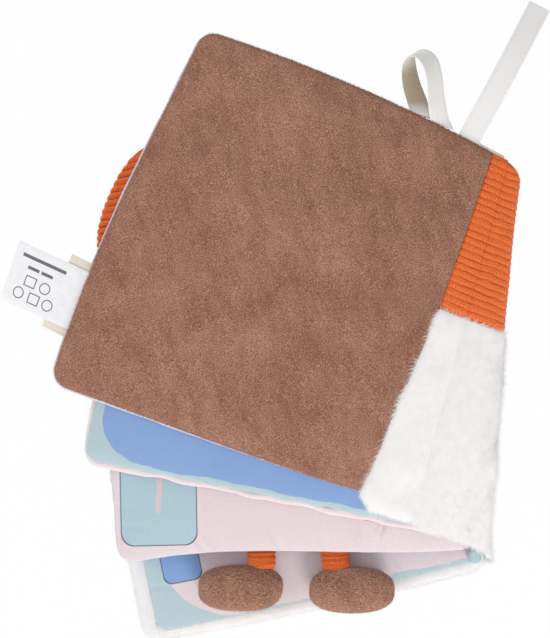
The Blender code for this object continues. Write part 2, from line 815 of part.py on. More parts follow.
def makeLabels():
    labelLevel = backRimMiddle + labelThickness / 2 + seamGap / 2
    tagLevel = backRimMiddle - tagThickness / 2 - seamGap / 2
    place = labelPlace
    flatFlap("care_label", place, labelWidth, labelLength, labelThickness, labelLevel, labelDrop, whiteSatin)
    tagPlace = place - (tagWidth - labelWidth) / 2
    tagDrop = labelDrop * (tagLength / labelLength) ** 1.5
    flatFlap("twill_tag", tagPlace, tagWidth, tagLength, tagThickness, tagLevel, tagDrop, beigeTwill)


def boundsOf(things):
    depsgraph = bpy.context.evaluated_depsgraph_get()
    corners = []
    for thing in things:
        shown = thing.evaluated_get(depsgraph)
        corners += [np.array(shown.matrix_world @ vertex.co) for vertex in shown.data.vertices]
    corners = np.array(corners)
    return corners.min(axis=0), corners.max(axis=0)


def moveAll(shift):
    for thing in list(bookCollection.objects) + list(cutterCollection.objects):
        for vertex in thing.data.vertices:
            vertex.co += shift


def jointPlaces():
    # Each moving body: the start of its nodes' names, a point on its axis, and the axis.
    foot = np.array([foldFootX, foldFootY]) + foldOutward * axisOutset
    frontLevel = (frontHeights["top"] + lowerLeafBottom) / 2
    foldAxis = (*foldAlong, 0)
    places = {
        "lower_leaf": ((*foot, frontLevel), foldAxis),
        "upper_leaf": ((*foot, lowerHeights["top"] + stackGap / 2), foldAxis),
        "back_cover": ((*foot, upperHeights["top"] + stackGap / 2), foldAxis),
        "ear": ((-leafWidth * earShare, leafHeight + 2 * seamGap, earLift), (1, 0, 0)),
    }
    for side, leg in (("left", leftLeg), ("right", rightLeg)):
        start, up = legPlace(leg)
        places[side] = ((*(start + up * legHidden), legBottom), (0, 0, 1))
    frames = {
        "hanging_loop": edgeFrame(topEdgePoint, topLength - loopPlace - ribbonWidth, 2 * ribbonWidth),
        "strap": edgeFrame(topEdgePoint, topLength - strapPlace - ribbonWidth / 2, ribbonWidth),
        "care_label": edgeFrame(foreEdgePoint, labelPlace, labelWidth),
    }
    for name, (middle, direction, outward) in frames.items():
        places[name] = ((*(middle + outward * 2 * seamGap), backRimMiddle), (*direction, 0))
    places["twill_tag"] = places["care_label"]
    return places


def hangOnAxes(shift):
    # Puts an empty on each joint's axis and parents the moving pieces to it.
    for name, (point, axis) in jointPlaces().items():
        empty = bpy.data.objects.new(name + "_axis", None)
        empty.empty_display_size = cornerRadius
        empty.location = Vector(point) + shift
        bookCollection.objects.link(empty)
        for thing in bookCollection.objects:
            if thing.type == "MESH" and thing.name.startswith(name):
                thing.parent = empty
                thing.location = -empty.location
        rounded = [round(float(a), 5) for a in empty.location]
        print(name, "axis through", rounded, "along", [round(float(a), 5) for a in axis])


makeFrontCover()
makeInnerLeaves()
makeBackCover()
makeSpine()
makeInnerFold()
for sideName, sideLeg in (("left", leftLeg), ("right", rightLeg)):
    makeLeg(sideName, sideLeg)
    makeFoot(sideName, sideLeg)
makeEar()
makeHangingLoop()
makeStrap()
makeLabels()
bpy.context.view_layer.update()
lowest, highest = boundsOf(bookCollection.objects)
centring = Vector((-(lowest[0] + highest[0]) / 2, -(lowest[1] + highest[1]) / 2, -lowest[2]))
moveAll(centring)
hangOnAxes(centring)
print("size", [round(float(a), 4) for a in highest - lowest])
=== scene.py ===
import math

import bpy
import numpy as np
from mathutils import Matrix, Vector


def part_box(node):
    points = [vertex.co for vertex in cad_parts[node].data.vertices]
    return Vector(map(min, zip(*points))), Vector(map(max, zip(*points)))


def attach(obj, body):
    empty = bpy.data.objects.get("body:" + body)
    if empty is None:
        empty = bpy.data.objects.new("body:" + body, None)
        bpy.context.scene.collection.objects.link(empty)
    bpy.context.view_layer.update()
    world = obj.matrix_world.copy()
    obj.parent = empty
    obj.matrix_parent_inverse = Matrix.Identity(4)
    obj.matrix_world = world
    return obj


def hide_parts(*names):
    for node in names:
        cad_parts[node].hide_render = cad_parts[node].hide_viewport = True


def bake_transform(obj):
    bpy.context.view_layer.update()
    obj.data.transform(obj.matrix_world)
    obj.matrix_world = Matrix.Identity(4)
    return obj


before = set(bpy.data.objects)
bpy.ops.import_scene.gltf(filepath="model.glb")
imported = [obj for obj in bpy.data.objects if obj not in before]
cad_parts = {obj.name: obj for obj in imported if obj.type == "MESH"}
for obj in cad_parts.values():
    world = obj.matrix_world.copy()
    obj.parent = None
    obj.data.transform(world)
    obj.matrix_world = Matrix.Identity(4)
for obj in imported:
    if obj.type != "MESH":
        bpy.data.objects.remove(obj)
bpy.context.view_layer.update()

# Metres and degrees. Each leaf is drawn flat on its own X and Y, then turned about its lower corner at the
# hinge.
book = {"width": 0.1655, "height": 0.161, "corner": 0.008, "swellReach": 0.024, "swell": 0.0025}
even = [0.75, 1.0, 0.75]
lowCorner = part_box("front_cover_lining")[0]
bookShift = np.array([lowCorner.x + book["width"], lowCorner.y + 0.0015])


def plainLeaf(**changes):
    w, h, r = book["width"], book["height"], book["corner"]
    leaf = {
        "corners": [(0, 0), (w, 0), (w, h), (0, h)],
        "radii": [r] * 4,
        "bulges": [(0, even)] * 4,
        "sides": [[0], [1], [2], [3]],
    }
    leaf.update(changes)
    return leaf


w, h, r = book["width"], book["height"], book["corner"]
frontCover = plainLeaf(
    at=(0.0, 0.0),
    turn=0.0,
    seam=0.0044,
    corners=[(0, 0), (w - 0.0036, 0.0022), (w, h), (0, h)],
    radii=[r, 0.009, r, r],
    bulges=[(0.0015, even), (0, even), (0, even), (0, even)],
)
frontPage = {
    **frontCover, "corners": [(0.0050, 0.0012), (0.1595, 0.0065), (w, h - 0.001), (0.0050, h - 0.001)]
}
frontPage.update(radii=[0.008, 0.003, 0.008, 0.008], bulges=[(0.0006, even), (0, even), (0, even), (0, even)])
lowerLeaf = plainLeaf(
    at=(-0.00757, 0.01054),
    turn=-10.5,
    seam=0.0176,
    radii=[r, 0.0006, 0.0006, r],
    corners=[(-0.0002, 0.0010), (w - 0.0075, 0.0043), (w, h), (0, h)],
    bulges=[(-0.0032, [1.0, 0.68, 0.05]), (0, even), (0, even), (0.0022, even)],
)
upperLeaf = plainLeaf(
    at=(-0.02313, 0.02617),
    turn=-22.8,
    seam=0.0250,
    radii=[r, 0.0006, 0.0006, 0.0095],
    corners=[(0, 0), (w, 0), (w - 0.0030, h), (0.0014, h - 0.0040)],
    bulges=[(0, even), (0, even), (0, even), (0.0005, even)],
)
foreBulge, lowBulge = (0.0031, [0.55, 1.0, 0.92]), (0.0010, [0.4, 0.9, 1.0])
backCover = plainLeaf(
    at=(-0.04139, 0.03935),
    turn=-32.8,
    seam=0.0324,
    corners=[
        (0, 0), (w - 0.0189, 0.0060), (w + 0.0050, -0.0010), (w - 0.0129, h + 0.0030), (0.0076, h + 0.0083)
    ],
    radii=[r, 0.001, 0.0006, 0.0006, r],
    bulges=[lowBulge, (0, even), (0, even), (0.0030, even), foreBulge],
    sides=[[0, 1], [2], [3], [4]],
)
stripSeamX = w - 0.0201
stripSeamY = h * 0.5572
topAtSeam = 0.1642
coverSeamY = h * 0.58
ribDepth = 0.00045
lipSteps = 260

# Plain helpers


def linear(hexColour):
    # sRGB hex to linear light: ((c + 0.055) / 1.055) ^ 2.4, or c / 12.92 when dark
    parts = [int(hexColour[i : i + 2], 16) / 255 for i in (1, 3, 5)]
    return (*[c / 12.92 if c <= 0.04045 else ((c + 0.055) / 1.055) ** 2.4 for c in parts], 1.0)


def ripples(x, y, seed, length, count=20):
    # A smooth random relief of about -1 to 1: a sum of sines, each of its own direction, phase and about the
    # same length
    random = np.random.default_rng(seed)
    total = 0
    for angle, stretch, phase in random.uniform((0, 0.7, 0), (2 * np.pi, 1.7, 2 * np.pi), (count, 3)):
        total = total + np.sin(
            2 * np.pi * (x * np.cos(angle) + y * np.sin(angle)) / (length * stretch) + phase
        )
    return total / math.sqrt(count)


def toBook(points, leaf):
    # Turns leaf points about the hinge corner: p' = R(turn) (p - corner) + at + shift; a third column stays
    # the height
    angle = math.radians(leaf["turn"])
    x, y = points[..., 0] - book["width"], points[..., 1]
    flatX = x * math.cos(angle) - y * math.sin(angle) + leaf["at"][0] + bookShift[0]
    flatY = x * math.sin(angle) + y * math.cos(angle) + leaf["at"][1] + bookShift[1]
    return np.stack([flatX, flatY, *[points[..., k] for k in range(2, points.shape[-1])]], axis=-1)


def resample(path, shares):
    # Points at shares of a path's length
    steps = np.linalg.norm(np.diff(path, axis=0), axis=1)
    along = np.concatenate([[0], np.cumsum(steps)])
    return np.stack(
        [np.interp(np.asarray(shares) * along[-1], along, path[:, k]) for k in range(path.shape[1])], axis=-1
    )


def cornerArc(before, here, after, radius, count=10):
    # The round of a corner: centre + (sin((1-t)a) first + sin(ta) last) / sin(a)
    toBefore = (before - here) / np.linalg.norm(before - here)
    toAfter = (after - here) / np.linalg.norm(after - here)
    half = math.acos(float(np.clip(toBefore @ toAfter, -1, 1))) / 2
    first, last = here + toBefore * radius / math.tan(half), here + toAfter * radius / math.tan(half)
    centre = here + (toBefore + toAfter) / np.linalg.norm(toBefore + toAfter) * radius / math.sin(half)
    sweep = math.pi - 2 * half
    t = np.linspace(0, 1, 2 * count + 1)[:, None]
    return centre + (
        np.sin((1 - t) * sweep) * (first - centre) + np.sin(t * sweep) * (last - centre)
    ) / math.sin(sweep)


def leafSides(leaf):
    # Bottom, right, top and left sides, each from the middle of one corner's round to the middle of the next,
    # with a bulge that a quartic through its three shares carries outward
    corners = np.array(leaf["corners"], float)
    n = len(corners)
    arcs = [cornerArc(corners[i - 1], corners[i], corners[(i + 1) % n], leaf["radii"][i]) for i in range(n)]
    edges = []
    for i in range(n):
        begin, end = arcs[i][-1], arcs[(i + 1) % n][0]
        depth, shares = leaf["bulges"][i]
        t = np.linspace(0, 1, 41)
        out = np.polyval(np.polyfit([0, 0.25, 0.5, 0.75, 1], [0, *shares, 0], 4), t) * depth
        along = (end - begin) / np.linalg.norm(end - begin)
        line = begin + (end - begin) * t[:, None] + out[:, None] * np.array([along[1], -along[0]])
        half = len(arcs[i]) // 2
        edges.append(np.concatenate([arcs[i][half:-1], line, arcs[(i + 1) % n][1 : half + 1]]))
    bottom, right, top, left = [np.concatenate([edges[i] for i in side]) for side in leaf["sides"]]
    return bottom, right, top[::-1], left[::-1]


def shrunk(leaf, insets):
    # The same leaf with each edge moved inward by its own amount; two moved lines meet at each new corner
    corners = np.array(leaf["corners"], float)
    n = len(corners)
    moved = []
    for i in range(n):
        rows, values = [], []
        for j in ((i - 1) % n, i):
            along = corners[(j + 1) % n] - corners[j]
            inward = np.array([-along[1], along[0]]) / np.linalg.norm(along)
            rows.append(inward)
            values.append(inward @ corners[j] + insets[j])
        moved.append(tuple(np.linalg.solve(rows, values)))
    radii = [max(radius - (insets[i - 1] + insets[i]) / 2, 0.0008) for i, radius in enumerate(leaf["radii"])]
    return {**leaf, "corners": moved, "radii": radii}


def spacing(length, step, fine=(0, 0.15, 0.35, 0.6, 0.9, 1.3, 1.8, 2.6)):
    # Shares of a width: close together at both edges, even between them
    near = np.array(fine) / 1000
    middle = np.linspace(near[-1], length - near[-1], max(int((length - 2 * near[-1]) / step), 2))
    return np.concatenate([near[:-1], middle, (length - near[:-1])[::-1]]) / length


def leafGrid(leaf, u, v):
    # Coons patch: (1-v) bottom + v top + (1-u) left + u right, less the blend of its four corners
    bottom, right, top, left = leafSides(leaf)
    lower, upper = resample(bottom, u)[:, None], resample(top, u)[:, None]
    west, east = resample(left, v)[None], resample(right, v)[None]
    a, b = u[:, None, None], v[None, :, None]
    inside = (1 - a) * (1 - b) * bottom[0] + a * (1 - b) * bottom[-1] + (1 - a) * b * top[0] + a * b * top[-1]
    return (1 - b) * lower + b * upper + (1 - a) * west + a * east - inside


def rimDistance(u, v, width, height):
    # Distance from the rim, rounded where two edges meet: (sum of d^-4)^(-1/4)
    a, b = np.meshgrid(u, v, indexing="ij")
    tiny = 1e-7
    parts = [a * width, (1 - a) * width, b * height, (1 - b) * height]
    return sum((part + tiny) ** -4 for part in parts) ** -0.25 - tiny


def roundUp(share):
    # A quarter round from nought to one: sqrt(1 - (1 - s)^2)
    s = np.clip(share, 0, 1)
    return np.sqrt(1 - (1 - s) ** 2)


def quadsOf(index):
    return np.stack([index[:-1, :-1], index[1:, :-1], index[1:, 1:], index[:-1, 1:]], axis=-1).reshape(-1, 4)


def meshPiece(name, points, faces, material, uv=None, cornerUv=None, sharp=60):
    points, faces = np.asarray(points, float).reshape(-1, 3), np.asarray(faces)
    a, b, c = points[faces[:, 0]], points[faces[:, 1]], points[faces[:, 2]]
    volume = (a * np.cross(b, c)).sum()
    if faces.shape[1] == 4:
        d = points[faces[:, 3]]
        volume += (a * np.cross(c, d)).sum()
    if volume < 0:
        faces = faces[:, ::-1]
        cornerUv = None if cornerUv is None else cornerUv[:, ::-1]
    if uv is not None:
        cornerUv = np.asarray(uv, float).reshape(-1, 2)[faces.ravel()]
    mesh = bpy.data.meshes.new(name)
    mesh.vertices.add(len(points))
    mesh.vertices.foreach_set("co", points.astype(np.float32).ravel())
    mesh.loops.add(faces.size)
    mesh.loops.foreach_set("vertex_index", faces.astype(np.int32).ravel())
    mesh.polygons.add(len(faces))
    mesh.polygons.foreach_set("loop_start", np.arange(0, faces.size, faces.shape[1], dtype=np.int32))
    mesh.polygons.foreach_set("use_smooth", np.ones(len(faces), bool))
    if cornerUv is not None:
        layer = mesh.uv_layers.new(name="cloth")
        layer.data.foreach_set("uv", np.asarray(cornerUv, np.float32).ravel())
    mesh.update(calc_edges=True)
    mesh.validate()
    if sharp:
        mesh.set_sharp_from_angle(angle=math.radians(sharp))
    mesh.materials.append(material)
    thing = bpy.data.objects.new(name, mesh)
    bpy.context.scene.collection.objects.link(thing)
    return thing


def shell(name, outer, inner, material, uv):
    # A closed sheet between two grids of the same size, with a wall all round
    rows, columns = outer.shape[:2]
    index = np.arange(rows * columns).reshape(rows, columns)
    count = rows * columns
    rim = np.concatenate([index[:, 0], index[-1, 1:], index[-2::-1, -1], index[0, -2:0:-1]])
    ahead = np.roll(rim, -1)
    walls = np.stack([ahead, rim, rim + count, ahead + count], axis=-1)
    faces = np.concatenate([quadsOf(index), quadsOf(index + count)[:, ::-1], walls])
    points = np.concatenate([outer.reshape(-1, 3), inner.reshape(-1, 3)])
    flat = np.concatenate([uv.reshape(-1, 2)] * 2)
    return meshPiece(name, points, faces, material, flat)


def pile(name, jobs, material):
    # Fibres on surfaces: thin three-sided spikes whose root is a random point of a grid and whose tip is root
    # + length (normal cos(tilt) + lay sin(tilt)). Each job is a grid, 1 or -1 for which way it faces, the
    # fibres' settings, a seed and where on the grid they grow. Light passes through fine fibres, so they
    # throw no shade and are lit as the cloth below them is, turned a little upward.
    spikes, facings = [], []
    for grid, side, spec, seed, share in jobs:
        random = np.random.default_rng(seed)
        a, b, c, d = grid[:-1, :-1], grid[1:, :-1], grid[1:, 1:], grid[:-1, 1:]
        cross = np.cross(c - a, d - b) * side
        area = np.linalg.norm(cross, axis=2) / 2
        weight = area * 1.0 if share is None else area * (share[:-1, :-1] + share[1:, 1:]) / 2
        count = int(weight.sum() * 1e6 * spec["perSquareMm"])
        cells = random.choice(area.size, count, p=weight.ravel() / weight.sum())
        u, v = random.random((2, count, 1))
        corners = [k.reshape(-1, 3)[cells] for k in (a, b, c, d)]
        root = (1 - u) * (1 - v) * corners[0] + u * (1 - v) * corners[
            1
        ] + u * v * corners[2] + (1 - u) * v * corners[3]
        normal = (cross / (2 * area[..., None] + 1e-12)).reshape(-1, 3)[cells]
        swirl = np.radians(
            spec["layAngle"] + spec["swirl"] * ripples(
                root[:, 0], root[:, 1] + root[:, 2], seed + 1, spec["swirlLength"]
            )
        )
        swirl = swirl + random.normal(0, math.radians(spec["stray"]), count)
        lay = np.stack([np.cos(swirl), np.sin(swirl), 0 * swirl], axis=-1)
        lay = lay - normal * (lay * normal).sum(axis=1, keepdims=True)
        lay = lay / (np.linalg.norm(lay, axis=1, keepdims=True) + 1e-9)
        tilt = np.radians(np.clip(random.normal(spec["tilt"], spec["tiltSpread"], count), 0, 88))[:, None]
        length = spec["length"] * random.uniform(0.5, 1.2, count)[:, None]
        tip = root + (normal * np.cos(tilt) + lay * np.sin(tilt)) * length
        across = np.cross(lay, normal)
        thick = spec["thickness"] / 2
        base = root - normal * spec["sunk"]
        ring = [
            base + across * thick,
            base - across * thick / 2 + lay * thick,
            base - across * thick / 2 - lay * thick,
        ]
        spikes.append(np.stack([*ring, tip], axis=1).reshape(-1, 3))
        facing = normal + np.array([0, 0, spec.get("glow", 0.0)])
        facings.append(np.repeat(facing / np.linalg.norm(facing, axis=1, keepdims=True), 4, axis=0))
    points = np.concatenate(spikes)
    points[:, 2] = np.maximum(points[:, 2], 0.0001)
    count = len(points) // 4
    faces = np.array([[0, 1, 3], [1, 2, 3], [2, 0, 3], [0, 2, 1]])[None] + 4 * np.arange(count)[:, None, None]
    thing = meshPiece(name, points, faces.reshape(-1, 3), material, sharp=None)
    thing.visible_shadow = thing.visible_diffuse = False
    thing.data.normals_split_custom_set_from_vertices(np.concatenate(facings))
    return thing


def puckerRelief(flat, leaf, rim, spec, seed, chosen=()):
    # Sewn edges pull the cloth: narrow grooves across the seam, depth exp(-(across/width)^2)
    # exp(-(along/reach)^2)
    random = np.random.default_rng(seed)
    sides = leafSides(leaf)
    total = np.zeros(flat.shape[:2])
    places = [
        (k, *random.uniform((0.04, 0.4, 0.6, 0.5, -0.5), (0.96, 1.0, 1.6, 1.3, 0.5)))
        for k in range(4)
        for _ in range(spec["perSide"])
    ]
    for k, place, depth, width, reach, slant in list(places) + list(chosen):
        point, beyond = resample(sides[k], [place, place + 0.01])
        along = (beyond - point) / np.linalg.norm(beyond - point)
        inward = np.array([-along[1], along[0]]) * (1 if k in (0, 1) else -1)
        inward = inward + along * slant
        inward = inward / np.linalg.norm(inward)
        across = np.array([inward[1], -inward[0]])
        offset = flat - point
        a, b = offset @ inward, offset @ across
        reachM, widthM = reach * spec["reach"], width * spec["width"]
        groove = np.exp(-((b / widthM) ** 2)) * np.exp(-((np.maximum(a, 0) / reachM) ** 2))
        ridge = 0.45 * np.exp(
            -(((np.abs(b) - 1.7 * widthM) / widthM) ** 2)
        ) * np.exp(-((np.maximum(a, 0) / reachM) ** 2))
        total += (ridge - groove) * depth * spec["depth"]
    return total * np.clip(rim / 0.0012, 0, 1)


def dents(flat, places):
    # Soft creases between two low banks. Each is x, y, angle, length, width and depth, in millimetres and
    # degrees; the groove is exp(-(a/l)^2 - (b/w)^2), and so are the banks, 1.6 widths to each side of it.
    total = np.zeros(flat.shape[:2])
    for x, y, angle, length, width, depth in places:
        a, b = (flat[..., 0] * 1000 - x), (flat[..., 1] * 1000 - y)
        c, s = math.cos(math.radians(angle)), math.sin(math.radians(angle))
        along, across = a * c + b * s, b * c - a * s
        banks = sum(np.exp(-(((across + shift) / width) ** 2)) for shift in (-1.6 * width, 1.6 * width))
        total += (
            0.6 * banks - 0.25 * np.exp(-((across / width) ** 2))
        ) * np.exp(-((along / length) ** 2)) * depth / 1000
    return total


# Materials


def addNode(tree, kind, inputs=(), out=0, **settings):
    # Inputs, by name or in order, are numbers, vectors, hex colours or the outputs of other nodes
    node = tree.nodes.new("ShaderNode" + kind)
    for name, value in settings.items():
        setattr(node, name, value)
    for name, value in inputs.items() if isinstance(inputs, dict) else enumerate(inputs):
        if isinstance(value, bpy.types.NodeSocket):
            tree.links.new(value, node.inputs[name])
        else:
            node.inputs[name].default_value = linear(value) if isinstance(value, str) else value
    return node.outputs[out]


def startMaterial(name, **sockets):
    material = bpy.data.materials.new(name)
    material.use_nodes = True
    surface = material.node_tree.nodes["Principled BSDF"]
    for socket, value in sockets.items():
        surface.inputs[socket.replace("_", " ")].default_value = value
    return material, material.node_tree, surface


def dress(tree, surface, colour, height, depth, strength):
    # Gives the surface its colour and its relief, whose depth is in metres
    bump = addNode(tree, "Bump", {"Height": height, "Distance": depth, "Strength": strength})
    tree.links.new(colour, surface.inputs["Base Color"])
    tree.links.new(bump, surface.inputs["Normal"])


def piecePlace(tree, turn=0.0, stretch=(1, 1, 1)):
    # The piece's own coordinates in metres, turned about Z and stretched
    place = addNode(tree, "TexCoord", out="Object")
    return addNode(
        tree, "Mapping", {"Vector": place, "Rotation": (0, 0, math.radians(turn)), "Scale": stretch}
    )


def clothPlace(tree):
    # The cloth's flat coordinates in millimetres; the UV map holds tenths of a metre
    unrolled = addNode(tree, "UVMap", uv_map="cloth")
    flat = addNode(tree, "VectorMath", (unrolled, (100, 100, 100)), operation="MULTIPLY")
    parts = addNode(tree, "SeparateXYZ", (flat,)).node.outputs
    return flat, parts[0], parts[1]


def makePlush(name, colour, shade):
    # Acrylic plush, tumbled: soft white tufts 3 to 5 mm long, with a little painted grey shade between them
    material, tree, surface = startMaterial(name, Roughness=0.95, Sheen_Weight=0.15, Sheen_Roughness=0.5)
    place = piecePlace(tree, 35, (1, 0.4, 1))
    tufts = addNode(tree, "TexNoise", {"Vector": place, "Scale": 1 / 0.0035, "Detail": 3.0})
    fibres = addNode(tree, "TexNoise", {"Vector": place, "Scale": 1 / 0.0007})
    share = addNode(tree, "MapRange", (tufts, 0.3, 0.62))
    # Painted shade: between tufts the white is mixed towards the grey
    tone = addNode(tree, "Mix", {0: share, 6: shade, 7: colour}, 2, data_type="RGBA")
    height = addNode(tree, "Math", (fibres, 0.25, tufts), operation="MULTIPLY_ADD")
    dress(tree, surface, tone, height, 0.0007, 0.4)
    return material


def makeFibre(name, colour, other, size):
    # Single fibres of a pile or nap: plain dyed polyester, a little lighter and darker from tuft to tuft
    material, tree, surface = startMaterial(name, Roughness=0.85)
    tufts = addNode(tree, "TexNoise", {"Vector": piecePlace(tree), "Scale": 1 / size})
    share = addNode(tree, "MapRange", (tufts, 0.36, 0.64))
    tone = addNode(tree, "Mix", {0: share, 6: colour, 7: other}, 2, data_type="RGBA")
    tree.links.new(tone, surface.inputs["Base Color"])
    return material


def makeVelour(name, dark, middle, light, stretch=(1, 1, 1), turn=20):
    # Brushed polyester velour: a dense 1 mm nap that shows a fine speckle of half a millimetre,
    # soft patches where the nap was stroked one way or the other, and a little sheen at grazing angles
    material, tree, surface = startMaterial(name, Roughness=0.92, Sheen_Weight=0.10, Sheen_Roughness=0.45)
    place = piecePlace(tree, turn, stretch)
    speck = addNode(tree, "TexNoise", {"Vector": place, "Scale": 1 / 0.0005, "Detail": 1.5, "Roughness": 0.6})
    across = piecePlace(tree, turn + 35, stretch)
    glint = addNode(tree, "TexNoise", {"Vector": across, "Scale": 1 / 0.00055, "Detail": 1.0})
    stroked = piecePlace(tree, turn + 20, (1, 0.35, 1))
    streak = addNode(
        tree, "TexNoise", {"Vector": stroked, "Scale": 1 / 0.0050, "Detail": 3.0, "Roughness": 0.65}
    )
    patch = addNode(
        tree, "TexNoise", {"Vector": piecePlace(tree), "Scale": 1 / 0.030, "Detail": 3.0, "Distortion": 0.6}
    )
    tones = [
        addNode(tree, "MapRange", (streak, 0.3, 0.7, 0.0, 0.42)),
        addNode(tree, "MapRange", (patch, 0.35, 0.65, 0.0, 0.30)),
    ]
    tones.append(addNode(tree, "MapRange", (glint, 0.50, 0.70, 0.0, 0.85)))
    tone = addNode(
        tree,
        "Math",
        (addNode(tree, "Math", tones[:2], operation="ADD"), tones[2]),
        operation="ADD",
        use_clamp=True,
    )
    body = addNode(tree, "Mix", {0: tone, 6: middle, 7: light}, 2, data_type="RGBA")
    deep = addNode(tree, "MapRange", (speck, 0.32, 0.54, 0.85, 0.0))
    final = addNode(tree, "Mix", {0: deep, 6: body, 7: dark}, 2, data_type="RGBA")
    height = addNode(
        tree,
        "Math",
        (streak, 0.4, addNode(tree, "Math", (speck, glint), operation="ADD")),
        operation="MULTIPLY_ADD",
    )
    dress(tree, surface, final, height, 0.0005, 0.6)
    return material


def makeKnit(name, dark, middle, light, pitch=3.0, stitch=1.3):
    # Acrylic rib knit, 3 mm from rib to rib: rows of small slanting stitches, painted highlight on their
    # crowns, painted shade in a thin line between two ribs and between stitches, and a fuzz of loose fibres
    # over it all
    material, tree, surface = startMaterial(name, Roughness=0.85, Sheen_Weight=0.10, Sheen_Roughness=0.4)
    flat, x, y = clothPlace(tree)
    drift = addNode(
        tree,
        "MapRange",
        (addNode(tree, "TexNoise", {"Vector": flat, "Scale": 1 / 7.0, "Detail": 1.0}), 0, 1, -0.9, 0.9),
    )
    rib = addNode(
        tree, "Math", (addNode(tree, "Math", (y, drift), operation="ADD"), pitch / 2), operation="PINGPONG"
    )
    wobble = addNode(tree, "TexNoise", {"Vector": flat, "Scale": 1 / 2.0})
    slant = addNode(
        tree,
        "Math",
        (rib, 0.55, addNode(tree, "Math", (x, 1 / stitch, wobble), operation="MULTIPLY_ADD")),
        operation="MULTIPLY_ADD",
    )
    loop = addNode(
        tree, "Math", (addNode(tree, "Math", (slant, 1.0), operation="FRACT"), 0.5), operation="PINGPONG"
    )
    fuzz = addNode(tree, "TexNoise", {"Vector": flat, "Scale": 1 / 0.7})
    # Noise that makes the painted shade in the grooves stronger or weaker from place to place
    shadeUnevenness = addNode(tree, "TexNoise", {"Vector": flat, "Scale": 1 / 9.0})
    lit = addNode(
        tree,
        "Math",
        (loop, 0.6, addNode(tree, "MapRange", (fuzz, 0.3, 0.7, 0.0, 0.8))),
        operation="MULTIPLY_ADD",
    )
    # Painted highlight: each stitch's crown is mixed towards the light orange
    litYarn = addNode(tree, "Mix", {0: lit, 6: middle, 7: light}, 2, data_type="RGBA")
    # Painted shade: a thin dark line along the groove between two ribs, at random strength, and darker
    # troughs between stitches
    line = addNode(tree, "MapRange", (rib, 0.45, 0.05))
    grooveShadeStrength = addNode(tree, "MapRange", (shadeUnevenness, 0.32, 0.62, 0.30, 0.80))
    groove = addNode(tree, "Math", (line, grooveShadeStrength), operation="MULTIPLY")
    between = addNode(tree, "MapRange", (loop, 0.12, 0.0, 0.0, 0.22))
    shade = addNode(tree, "Math", (groove, between), operation="MAXIMUM")
    tone = addNode(tree, "Mix", {0: shade, 6: litYarn, 7: dark}, 2, data_type="RGBA")
    height = addNode(tree, "Math", (fuzz, 0.8, loop), operation="MULTIPLY_ADD")
    dress(tree, surface, tone, height, 0.0004, 0.6)
    return material


def insideBox(tree, x, y, centre, half, radius=2.0, soft=0.25):
    # One inside a rounded rectangle and nought outside it: the distance past its inner box, less the radius.
    # Sizes are in millimetres.
    pasts = []
    for value, middle, side in ((x, centre[0], half[0]), (y, centre[1], half[1])):
        offset = addNode(
            tree,
            "Math",
            (addNode(tree, "Math", (value, middle), operation="SUBTRACT"),),
            operation="ABSOLUTE",
        )
        past = addNode(tree, "Math", (offset, side - radius), operation="SUBTRACT")
        pasts.append(addNode(tree, "Math", (past, 0.0), operation="MAXIMUM"))
    squares = [addNode(tree, "Math", (past, past), operation="MULTIPLY") for past in pasts]
    away = addNode(tree, "Math", (addNode(tree, "Math", squares, operation="ADD"),), operation="SQRT")
    return addNode(tree, "MapRange", (away, radius + soft, radius - soft))


def makePrint(name, ground, shapes=(), grey="#8E8A90"):
    # Printed plain-weave cotton: flat inks that soak in unevenly over 0.35 mm yarns, drawn 0.9 mm apart to
    # show. The weave's height is sin(2 pi x / pitch) sin(2 pi y / pitch), with slow slubs in the yarn.
    material, tree, surface = startMaterial(name, Roughness=0.88, Sheen_Weight=0.15)
    flat, x, y = clothPlace(tree)
    wave = addNode(
        tree, "MapRange", (addNode(tree, "TexNoise", {"Vector": flat, "Scale": 1 / 26.0}), 0, 1, -3.0, 3.0)
    )
    wavy = [addNode(tree, "Math", (value, wave), operation="ADD") for value in (x, y)]
    colour = ground
    for shape in shapes:
        useX, useY = wavy if shape.get("loose") else (x, y)
        inside = insideBox(tree, useX, useY, shape["centre"], shape["half"], shape["radius"])
        if "line" in shape:
            grown = [side + 0.45 for side in shape["half"]]
            rim = insideBox(tree, useX, useY, shape["centre"], grown, shape["radius"])
            colour = addNode(tree, "Mix", {0: rim, 6: colour, 7: shape["line"]}, 2, data_type="RGBA")
        colour = addNode(tree, "Mix", {0: inside, 6: colour, 7: shape["colour"]}, 2, data_type="RGBA")
    yarns = [
        addNode(
            tree,
            "Math",
            (addNode(tree, "Math", (value, 2 * math.pi / 0.9), operation="MULTIPLY"),),
            operation="SINE",
        )
        for value in (x, y)
    ]
    weave = addNode(tree, "Math", yarns, operation="MULTIPLY")
    soaked = addNode(tree, "TexNoise", {"Vector": flat, "Scale": 1 / 0.8, "Detail": 3.0})
    ink = addNode(
        tree,
        "Math",
        (weave, 0.02, addNode(tree, "MapRange", (soaked, 0.3, 0.7, 0.0, 0.16))),
        operation="MULTIPLY_ADD",
    )
    tone = addNode(tree, "Mix", {0: ink, 6: colour, 7: grey}, 2, data_type="RGBA")
    slub = addNode(tree, "TexNoise", {"Vector": flat, "Scale": 1 / 12.0, "Detail": 3.0})
    height = addNode(tree, "Math", (slub, 4.0, weave), operation="MULTIPLY_ADD")
    dress(tree, surface, tone, height, 0.00008, 0.6)
    return material


